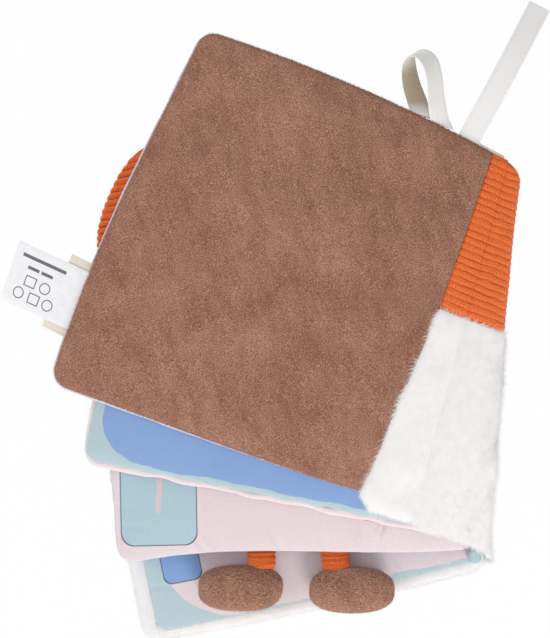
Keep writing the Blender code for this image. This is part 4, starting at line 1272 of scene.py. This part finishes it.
def clothRow(grid):
    # The row of the knit that a point lies on: its place along the back cover's hinge, and further down along
    # the front cover's, which takes over between 22 and 8 mm of height
    heights = []
    for leaf in (backCover, frontCover):
        angle = math.radians(leaf["turn"])
        x = grid[..., 0] - leaf["at"][0] - bookShift[0]
        y = grid[..., 1] - leaf["at"][1] - bookShift[1]
        heights.append(y * math.cos(angle) - x * math.sin(angle))
    share = np.clip((0.022 - grid[..., 2]) / 0.014, 0, 1)
    share = share * share * (3 - 2 * share)
    return heights[0] * (1 - share) + heights[1] * share


def cutAtHeights(grid, high, low, columns):
    # The part of each row between two heights; every row falls steadily
    found = []
    for row in grid:
        z = row[:, 2]
        begin = 0.0 if high is None else float(np.interp(-high, -z, np.arange(len(z))))
        finish = len(z) - 1.0 if low is None else float(np.interp(-low, -z, np.arange(len(z))))
        places = np.linspace(begin, finish, columns)
        found.append(
            np.stack([np.interp(places, np.arange(len(z)), row[:, k]) for k in range(grid.shape[2])], -1)
        )
    return np.array(found)


stretches = (
    ("_under", ("front_cover", "lower_leaf", 0.0080, 0.0160), 0.0160, None, 30),
    ("_middle", ("lower_leaf", "upper_leaf", 0.0160, 0.0255), 0.0255, 0.0160, 34),
    ("_top", ("upper_leaf", "back_cover", 0.0255, 0.0320), None, 0.0255, 46),
)
wholeSpine = spineGrid(np.repeat(np.linspace(0, 1, 200)[:, None], len(dense), axis=1))
wholeRows = clothRow(wholeSpine)
# Where the knit meets the plush, the seam runs straight on from the strip's own
seamShares = np.array(
    [np.interp(knee[1], wholeRows[:, k], np.linspace(0, 1, 200)) for k in range(len(dense))]
)
backShares = 0.010 * (1 - dense) ** 2 + 0.16 * dense**2 * (1 - dense)


def spineCloth(
    name,
    look,
    slot,
    node,
    lowShares,
    highShares,
    rows,
    inset,
    thickness,
    endRoll,
    ribbed=False,
    jobs=(),
    ends=(),
):
    # Two dense surfaces round the fold, cut at two heights into three lengths, so that each crosses one joint
    t = np.linspace(0, 1, rows)[:, None]
    shares = lowShares[None] * (1 - t) + highShares[None] * t
    grid = spineGrid(shares)
    normals = facingOut(grid)
    y = clothRow(grid)
    fromEnds = np.minimum(shares * 0.15 if endRoll[0] else 1.0, (1 - shares) * 0.15 if endRoll[1] else 1.0)
    fullness = np.clip(roundUp(fromEnds / 0.0024), 0.1, 1)
    inner = grid + normals * inset
    relief = ribDepth * (np.sqrt(ribCrown(y)) - 1) * fullness if ribbed else 0 * y
    outer = inner + normals * (thickness * fullness + relief)[..., None]
    across = np.concatenate(
        [np.zeros((rows, 1)), np.cumsum(np.linalg.norm(np.diff(outer, axis=1), axis=2), axis=1)], axis=1
    )
    both = np.dstack([outer, hingeX(y) + across, y])
    for ending, joint, high, low, columns in stretches:
        cut = cutAtHeights(both, high, low, columns)
        back = cutAtHeights(inner, high, low, columns)
        piece = shell(name + ending, cut[..., :3], back, looks[look], cut[..., 3:] / 0.1)
        settle(piece, joint, slot, *([node] if ending == "_top" else []))
        extras = list(ends) if ending == "_under" else []
        if jobs:
            t = np.linspace(0, 1, rows)[:, None] + np.zeros((rows, columns))
            growth = [
                (cut[..., :3], -1, spec, number + columns, where(t) if where else None)
                for spec, number, where in jobs
            ]
            extras.append(settle(pile(name + "_pile" + ending, growth, looks["plushFibre"]), joint, slot))


edgeFuzz = {
    **whitePile, "perSquareMm": 4, "length": 0.0038, "tilt": 54, "tiltSpread": 16, "stray": 32, "glow": 1.6
}


def nearLow(t):
    return np.exp(-t / 0.02)


def nearHigh(t):
    return np.exp(-(1 - t) / 0.015)


zeros, ones = 0 * dense, 0 * dense + 1
# The lining is rolled over at the fold's lower end
steps = np.linspace(0, 1, 24)
rollPath = toBook(
    np.column_stack([0.1598 - 0.0004 * steps, 0.0066 + 0.0080 * steps, 0.0080 + 0.0045 * steps]), frontCover
)
rollWidths = roundUp(np.minimum(steps, 1 - steps) * 3.4 + 0.12)
liningEnd = rollRound("spine_lining_rolled_end", rollPath, rollWidths, 0.0060, 0.0056, looks["lining"])[0]
settle(liningEnd, "front_cover", "teal_cotton")
spineCloth(
    "spine_lining_cloth",
    "lining",
    "teal_cotton",
    "spine_lining",
    zeros + backShares * 0.7,
    ones,
    90,
    0.0,
    0.0008,
    (False, False),
    ends=[liningEnd],
)
spineCloth(
    "spine_plush_cloth", "plush", "white_plush", "spine_plush_panel", zeros + backShares, seamShares - 0.001,
    80, 0.0009, 0.0022,
    (True, False),
    jobs=[(whitePile, 102, None), (edgeFuzz, 132, None), (overKnit, 112, nearHigh), (hanging, 122, nearLow)],
)
spineCloth(
    "spine_knit_cloth", "knit", "orange_rib_knit", "spine_knit_panel", seamShares + 0.001, ones, 200, 0.0011,
    0.0024,
    (False, True), ribbed=True,
)

# Inner fold: a narrow strip round the two leaves' hinge edges
foldLean = 13.0
foldOut = np.array([math.cos(math.radians(foldLean)), -math.sin(math.radians(foldLean))])
gusset = 0.0008


def leafHinge(leaf, shares):
    first = leaf["sides"][1][0]
    low, high = np.array(leaf["corners"][first]), np.array(leaf["corners"][first + 1])
    edge = (high - low) / np.linalg.norm(high - low) * leaf["radii"][first]
    return toBook(between((low + edge, high - edge), shares[:, None, None]), leaf)


foldShares, foldColumns = np.linspace(0, 1, 90), np.linspace(0, 1, 30)
start, end = leafHinge(upperLeaf, foldShares), leafHinge(lowerLeaf, foldShares)
u = foldColumns[None, :, None]
handle = foldOut * 3 * gusset
foldFlat = (1 - u) ** 3 * start + 3 * u * (1 - u) ** 2 * (start + handle)
foldFlat = foldFlat + 3 * u * u * (1 - u) * (end + handle) + u**3 * end
weight = ((1 - foldColumns) ** 3 + 3 * foldColumns * (1 - foldColumns) ** 2)[None] + 0 * foldShares[:, None]
foldGrid = np.dstack([foldFlat, weight * 0.0245 + (1 - weight) * 0.0184])
foldUv = np.dstack(np.broadcast_arrays(foldShares[:, None] * 0.16, foldColumns[None] * 0.01))
foldPiece = shell(
    "inner_fold_cloth", foldGrid + np.array([*(foldOut * 0.0008), 0]), foldGrid, looks["fold"], foldUv / 0.1
)
settle(foldPiece, ("lower_leaf", "upper_leaf", 0.0187, 0.0242), "pink_cotton", "inner_fold_strip")
print("spine and fold made")

# Legs and feet

legs = {
    "width": 0.0146,
    "thickness": 0.0055,
    "hidden": 0.032,
    "over": 0.0046,
    "lift": 0.0040,
    "base": 0.0083,
    "pitch": 0.0022,
}
feet = {
    "length": 0.0388,
    "width": 0.0204,
    "thickness": 0.0140,
    "drop": 0.0125,
    "turn": -11.5,
    "fullness": 2.6,
    "dent": 0.0046,
}
footNap = {
    "perSquareMm": 12,
    "length": 0.0012,
    "thickness": 0.00010,
    "sunk": 0.0003,
    "tilt": 70,
    "tiltSpread": 12,
    "layAngle": 170,
    "swirl": 20,
    "swirlLength": 0.02,
    "stray": 25,
    "glow": 0.4,
}


def powered(value, power):
    return np.sign(value) * np.abs(value) ** power


for sideName, place, lean, footSide, number in (
    ("left", (-0.1057, 0.0295), 10.0, -0.0100, 111),
    ("right", (-0.0726, 0.0212), 9.0, 0.0068, 115),
):
    low = np.array(place) + bookShift
    upward = np.array([math.cos(math.radians(90 - lean)), math.sin(math.radians(90 - lean))])
    across = np.array([upward[1], -upward[0]])
    share = np.linspace(0, 1, 140)
    places = [0, 0.06, 0.3, 0.6, 0.94, 1]
    width = np.interp(share, places, [0.80, 0.94, 1.0, 0.96, 0.90, 0.76]) * legs["width"] / 2
    tall = np.interp(share, places, [0.45, 0.80, 1.0, 1.0, 0.95, 0.70]) * legs["thickness"] / 2
    lengths = share * (legs["hidden"] + legs["over"])
    dip = 0.0008 * (np.sqrt(ribCrown(lengths, legs["pitch"])) - 1)
    angles = np.linspace(0, 2 * np.pi, 48, endpoint=False)
    centre = low + upward * (legs["hidden"] - lengths)[:, None]
    flat = centre[:, None] + across * (np.cos(angles)[None] * (width + dip)[:, None])[..., None]
    climb = legs["lift"] * np.exp(-(((legs["hidden"] + legs["over"] - lengths) / 0.0060) ** 2))
    middle = legs["base"] + tall + climb
    height = middle[:, None] + np.sin(angles)[None] * (tall + dip)[:, None] + 0.0001
    leg = roundBody(
        sideName + "_ribbed_leg", np.dstack([flat, height]), looks["knit"], (1.0, 0.003 / legs["pitch"])
    )
    settle(leg, sideName + "_leg", "orange_rib_knit", sideName + "_leg")
    # Foot: a round filled out by a power towards its ends, with a hollow where the leg is sewn on
    theta, phi = np.linspace(0, 2 * np.pi, 72, endpoint=False)[
        None
    ], np.linspace(-np.pi / 2, np.pi / 2, 44)[1:-1, None]
    power = 2 / feet["fullness"]
    x = powered(np.cos(phi), power) * powered(np.cos(theta), power)
    y = powered(np.cos(phi), power) * powered(np.sin(theta), power)
    z = np.sin(phi) + 0 * theta
    lump = 1 + 0.012 * ripples(x, y + z, number, 1.1)
    bodyX, bodyY = x * feet["length"] / 2 * lump, y * feet["width"] / 2 * lump
    turn = math.radians(feet["turn"])
    centre = low - upward * (feet["drop"] + 0.0003) + across * footSide
    footX = centre[0] + bodyX * math.cos(turn) - bodyY * math.sin(turn)
    footY = centre[1] + bodyX * math.sin(turn) + bodyY * math.cos(turn)
    sewn = np.exp(-(((footX - low[0]) ** 2 + (footY - low[1]) ** 2) / 0.0075**2)) * np.clip(z, 0, 1)
    footZ = legs["base"] + feet["thickness"] / 2 * (1 + z) - feet["dent"] * sewn
    rings = np.dstack([footX, footY, footZ])
    foot = settle(
        roundBody(sideName + "_velour_foot", rings, looks["footVelour"]),
        sideName + "_leg",
        "brown_velour",
        sideName + "_foot",
    )
    closed = np.concatenate([rings, rings[:, :1]], axis=1)
    footPile = pile(sideName + "_foot_nap", [(closed, -1, footNap, number + 1, None)], looks["velourFibre"])
    settle(footPile, sideName + "_leg", "brown_velour")
print("legs and feet made")

# Ear

ear = {
    "share": 0.6677,
    "halfWidth": 0.0433,
    "height": 0.0684,
    "knit": 0.0015,
    "swell": 0.0016,
    "lift": 0.0004,
    "gap": 0.0003,
}
earPlace = np.array([-w * ear["share"], h + ear["gap"]]) + bookShift
y = np.linspace(0, 1, 200)
earHeights = [0, 0.16, 0.32, 0.47, 0.60, 0.71, 0.82, 0.915, 0.98, 1.0]
earWidths = [0.93, 0.985, 1.0, 0.945, 0.845, 0.73, 0.595, 0.43, 0.22, 0.03]
smoothing = np.hanning(15) / np.hanning(15).sum()
halfWide = np.convolve(
    np.pad(ear["halfWidth"] * np.interp(y, earHeights, earWidths), 7, mode="edge"), smoothing, "valid"
)
crown = ribCrown(y * ear["height"])
halfWide = halfWide + 0.0009 * (np.sqrt(crown) - 1) * np.clip((1 - y) * 8, 0, 1)
x = np.sin(np.linspace(-np.pi / 2, np.pi / 2, 44))
earFlat = np.dstack([x[None] * halfWide[:, None], np.broadcast_to((y * ear["height"])[:, None], (200, 44))])
inward = np.minimum((1 - np.abs(x))[None] * halfWide[:, None], ((1 - y) * ear["height"])[:, None])
inward = np.minimum(inward, (y * ear["height"])[:, None] + 0.004)
puff = roundUp(inward / 0.014)
ridge = 0.0009 * (np.sqrt(crown)[:, None] - 1)
earBase = ear["lift"] + ear["swell"] + ear["knit"]
for faceName, node, way in (("ear_front_face", "ear_front_knit", -1), ("ear_back_face", "ear_back_knit", 1)):
    outer = 0.00015 + puff * ear["swell"] + (ear["knit"] + ridge) * roundUp(inward / 0.0016)
    inner = 0.00005 + puff * ear["swell"] * 0.98
    outer = np.maximum(outer, inner + 0.00005)
    grids = [np.dstack([earFlat + earPlace, earBase + way * level]) for level in (outer, inner)]
    settle(
        shell(faceName, *grids, looks["knit"], earFlat / 0.1), "ear", "orange_rib_knit", node
    )
keep = np.clip(1 - 0.003 / np.maximum(halfWide, 0.004), 0.2, 1)
padFlat = np.dstack([earFlat[..., 0] * keep[:, None], 0.003 + earFlat[..., 1] * 0.91]) + earPlace
padRim = np.minimum(
    (1 - np.abs(x))[None] * halfWide[:, None], np.minimum(1 - y, y + 0.05)[:, None] * ear["height"]
)
padSides = [
    np.dstack([padFlat, earBase + way * (0.00002 + roundUp(padRim / 0.014) * ear["swell"] * 0.8)])
    for way in (1, -1)
]
earPad = settle(shell("ear_pad", *padSides, looks["wadding"], earFlat / 0.1), "ear", "wadding", "ear_wadding")
print("ear made")

# Ribbons, label and tag

ribbon = {"width": 0.0100, "thickness": 0.0008, "gap": 0.0003}
# The loop's path goes by shares of its length: along the cover's edge, out from it and up
loop = {
    "place": 0.0371,
    "length": 0.0243,
    "along": [-0.225, -0.411, -0.651, -0.822, -0.861, -0.721, -0.522, -0.329, -0.108, 0.068, 0.215],
    "out": [0.0, 0.222, 0.488, 0.745, 0.905, 0.965, 0.870, 0.650, 0.310, 0.100, 0.0],
    "rise": [0.0, -0.07, -0.12, -0.10, 0.0, 0.13, 0.23, 0.25, 0.17, 0.06, 0.0],
    "turns": [10, 34, 44, 52, 66, 74, 62, 52, 42, 24, 8],
    "tilts": [0, 14, 26, 38, 50, 40, 28, 30, 28, 18, 0],
}
strap = {"place": 0.0195, "length": 0.0665, "lean": -0.76, "rise": 0.0040}
rimMiddle = 0.03335


def smoothThrough(values, count):
    # Catmull-Rom: b + t (c - a)/2 + t^2 (2a - 5b + 4c - d)/2 + t^3 (3b - 3c + d - a)/2
    values = np.array(values, float)
    padded = np.concatenate([[2 * values[0] - values[1]], values, [2 * values[-1] - values[-2]]])
    place = np.linspace(0, len(values) - 1, count)
    i = np.minimum(place.astype(int), len(values) - 2)
    t = place - i
    a, b, c, d = padded[i], padded[i + 1], padded[i + 2], padded[i + 3]
    return b + t * (c - a) / 2 + t * t * (2 * a - 5 * b + 4 * c - d) / 2 + t**3 * (3 * b - 3 * c + d - a) / 2


def edgeFrame(first, radii, bulge, place, width):
    # The middle of a stretch of one side of the back cover, just outside its bulge, with its directions
    start, end = np.array(backCover["corners"][first]), np.array(backCover["corners"][(first + 1) % 5])
    length = np.linalg.norm(end - start)
    direction = (end - start) / length
    places = length - (place + width * np.linspace(0, 1, 17))
    shares = (places - radii[0]) / (length - sum(radii))
    out = bulge[0] * np.interp(shares, np.linspace(0, 1, 5), [0, *bulge[1], 0])
    samples = toBook(
        start + direction * places[:, None] + np.array([direction[1], -direction[0]]) * out[:, None],
        backCover,
    )
    along = (samples[-1] - samples[0]) / np.linalg.norm(samples[-1] - samples[0])
    outward = np.array([-along[1], along[0]])
    middle = (samples[0] + samples[-1]) / 2
    return middle + outward * ((samples - middle) @ outward).max(), along, outward


def flatBand(name, centres, widths, size, thickness, material, uv, curl=0.0, columns=13):
    # A ribbon: centre + width share + normal (half thickness + curl share^2); its size may change along it
    widths = widths / np.linalg.norm(widths, axis=1, keepdims=True)
    normals = np.cross(np.gradient(centres, axis=0), widths)
    normals = normals / np.linalg.norm(normals, axis=1, keepdims=True)
    share = np.linspace(-0.5, 0.5, columns)
    size = np.broadcast_to(size, len(centres))[:, None]
    middle = centres[:, None] + widths[:, None] * (share * size)[..., None]
    middle = middle + normals[:, None] * (curl * (4 * share**2 - 0.33))[None, :, None]
    thin = thickness / 2 * np.clip(roundUp((0.5 - np.abs(share)) * size / (thickness * 0.6)), 0.25, 1)
    top, bottom = middle + normals[:, None] * thin[..., None], middle - normals[:, None] * thin[..., None]
    return shell(name, top, bottom, material, uv / 0.1)


topLength = math.dist(hingeHigh, backCover["corners"][4])
topBulge = backCover["bulges"][3]
origin, along, outward = edgeFrame(
    3, (r / 2, r), topBulge, topLength - loop["place"] - ribbon["width"], 2 * ribbon["width"]
)
origin = origin + outward * ribbon["gap"]
count = 150
sideways, away, rise = [smoothThrough(loop[key], count) * loop["length"] for key in ("along", "out", "rise")]
turns, tilts = [np.radians(smoothThrough(loop[key], count)) for key in ("turns", "tilts")]
centres = np.column_stack([origin + sideways[:, None] * along + away[:, None] * outward, rimMiddle + rise])
across = np.cos(turns)[:, None] * along + np.sin(turns)[:, None] * outward
widths = np.column_stack([across * np.cos(tilts)[:, None], -np.sin(tilts)])
steps = np.concatenate([[0], np.cumsum(np.linalg.norm(np.diff(centres, axis=0), axis=1))])
bandWidth = ribbon["width"] - 2 * ribbon["gap"]
bandUv = np.dstack(np.meshgrid(np.linspace(0, ribbon["width"], 13), steps))
loopPiece = flatBand(
    "hanging_loop_ribbon",
    centres,
    widths,
    bandWidth,
    ribbon["thickness"],
    looks["loopRibbon"],
    bandUv,
    0.0002,
)
settle(loopPiece, "hanging_loop", "cream_ribbon", "hanging_loop")

origin, along, outward = edgeFrame(
    3, (r / 2, r), topBulge, topLength - strap["place"] - ribbon["width"] / 2, ribbon["width"]
)
origin = origin + outward * ribbon["gap"]
share = np.linspace(0, 1, 90)
lean = math.radians(strap["lean"])
bend = np.minimum(1, share * 5)
flat = origin + (
    outward * (math.cos(lean) * share)[:, None] - along * (math.sin(lean) * share * bend)[:, None]
) * strap["length"]
centres = np.column_stack([flat, rimMiddle + strap["rise"] * np.sin(np.pi * share)])
turns = lean * bend
widths = np.column_stack([along * np.cos(turns)[:, None] + outward * np.sin(turns)[:, None], 0 * turns])
bandUv = np.dstack(np.meshgrid(np.linspace(0, ribbon["width"], 13), share * strap["length"]))
strapPiece = flatBand(
    "strap_ribbon", centres, widths, ribbon["width"], ribbon["thickness"], looks["ribbon"], bandUv, 0.00015
)
settle(strapPiece, "strap", "cream_ribbon", "strap")

# Label and tag: each is sewn in at the fore edge and hangs a little; roots and tips are its corners on the
# back cover
labels = {
    "care_label_satin": dict(
        node="care_label", slot="white_satin", look="satin", thickness=0.0004, level=0.00035, drop=0.0040,
        roots=[(0.0018, 0.0510), (0.0002, 0.0243)], tips=[(-0.0356, 0.0531), (-0.0343, 0.0257)],
    ),
    "twill_tag_tape": dict(
        node="twill_tag", slot="beige_twill", look="twill", thickness=0.0008, level=-0.00055, drop=0.0009,
        roots=[(0.0018, 0.0548), (0.0002, 0.0204)], tips=[(-0.0112, 0.0560), (-0.0122, 0.0214)],
    ),
}
for bandName, s in labels.items():
    roots, tips = toBook(np.array(s["roots"]), backCover), toBook(np.array(s["tips"]), backCover)
    share = np.linspace(0, 1, 60)[:, None]
    upper, lower = roots[0] * (1 - share) + tips[0] * share, roots[1] * (1 - share) + tips[1] * share
    length = float(np.linalg.norm(tips - roots, axis=1).mean())
    size = np.linalg.norm(upper - lower, axis=1)
    centres = np.column_stack([(upper + lower) / 2, rimMiddle + s["level"] - s["drop"] * share**1.5])
    widths = np.column_stack([lower - upper, 0 * share])
    bandUv = np.dstack(np.meshgrid(np.linspace(size.mean(), 0, 25), (1 - share[:, 0]) * length))[..., ::-1]
    if s["look"] == "twill":
        bandUv = bandUv[..., ::-1]
    band = flatBand(bandName, centres, widths, size, s["thickness"], looks[s["look"]], bandUv, 0.0, 25)
    settle(band, "label", s["slot"], s["node"])
print("ribbons and label made")

# Camera, light and floor

camera = bpy.data.objects.new("photo_camera", bpy.data.cameras.new("photo_camera"))
camera.data.lens = 56.03
camera.location = (bookShift[0] - 0.07772, bookShift[1] + 0.13613, 0.470)
camera.rotation_euler = (0, 0, math.radians(-11.5))
camera.data.clip_start, camera.data.clip_end = 0.01, 10
bpy.context.scene.collection.objects.link(camera)
bpy.context.scene.camera = camera


def softLamp(name, location, size, watts):
    lamp = bpy.data.objects.new(name, bpy.data.lights.new(name, "AREA"))
    lamp.data.shape, lamp.data.size, lamp.data.energy = "SQUARE", size, watts
    lamp.location = location
    lamp.rotation_euler = (Vector((0, 0, 0.02)) - Vector(location)).to_track_quat("-Z", "Y").to_euler()
    bpy.context.scene.collection.objects.link(lamp)


softLamp("key_softbox", (0.14, -0.82, 0.46), 0.45, 4.5)
softLamp("fill_softbox", (-0.9, 0.3, 0.6), 0.9, 4.2)

studio = {"strength": 0.57, "floorGlow": 0.985}
world = bpy.data.worlds.new("white_studio")
bpy.context.scene.world = world
world.use_nodes = True
tree = world.node_tree
rays = addNode(tree, "LightPath").node.outputs
shown = addNode(tree, "Math", (rays["Is Glossy Ray"], rays["Is Transmission Ray"]), operation="MAXIMUM")
shown = addNode(tree, "Math", (rays["Is Camera Ray"], shown), operation="MAXIMUM")
strength = addNode(
    tree, "Math", (shown, 1 - studio["strength"], studio["strength"]), operation="MULTIPLY_ADD"
)
tree.nodes["Background"].inputs["Color"].default_value = (1, 1, 1, 1)
tree.links.new(strength, tree.nodes["Background"].inputs["Strength"])

floorMesh = bpy.data.meshes.new("floor")
floorMesh.from_pydata(
    [(-4, -4, -0.0002), (4, -4, -0.0002), (4, 4, -0.0002), (-4, 4, -0.0002)], [], [(0, 1, 2, 3)]
)
floor = bpy.data.objects.new("floor", floorMesh)
bpy.context.scene.collection.objects.link(floor)
floorMaterial, tree, surface = startMaterial("white_paper_floor", Roughness=0.9)
surface.inputs["Base Color"].default_value = linear("#F4F4F4")
shown = addNode(
    tree, "Math", (addNode(tree, "LightPath", out="Is Camera Ray"), studio["floorGlow"]), operation="MULTIPLY"
)
glow = addNode(tree, "Emission", {"Color": (1, 1, 1, 1), "Strength": 1.0})
blend = addNode(tree, "MixShader", (shown, surface.outputs[0], glow))
tree.links.new(blend, tree.nodes["Material Output"].inputs["Surface"])
floorMesh.materials.append(floorMaterial)
bpy.context.scene.view_settings.view_transform = "Standard"
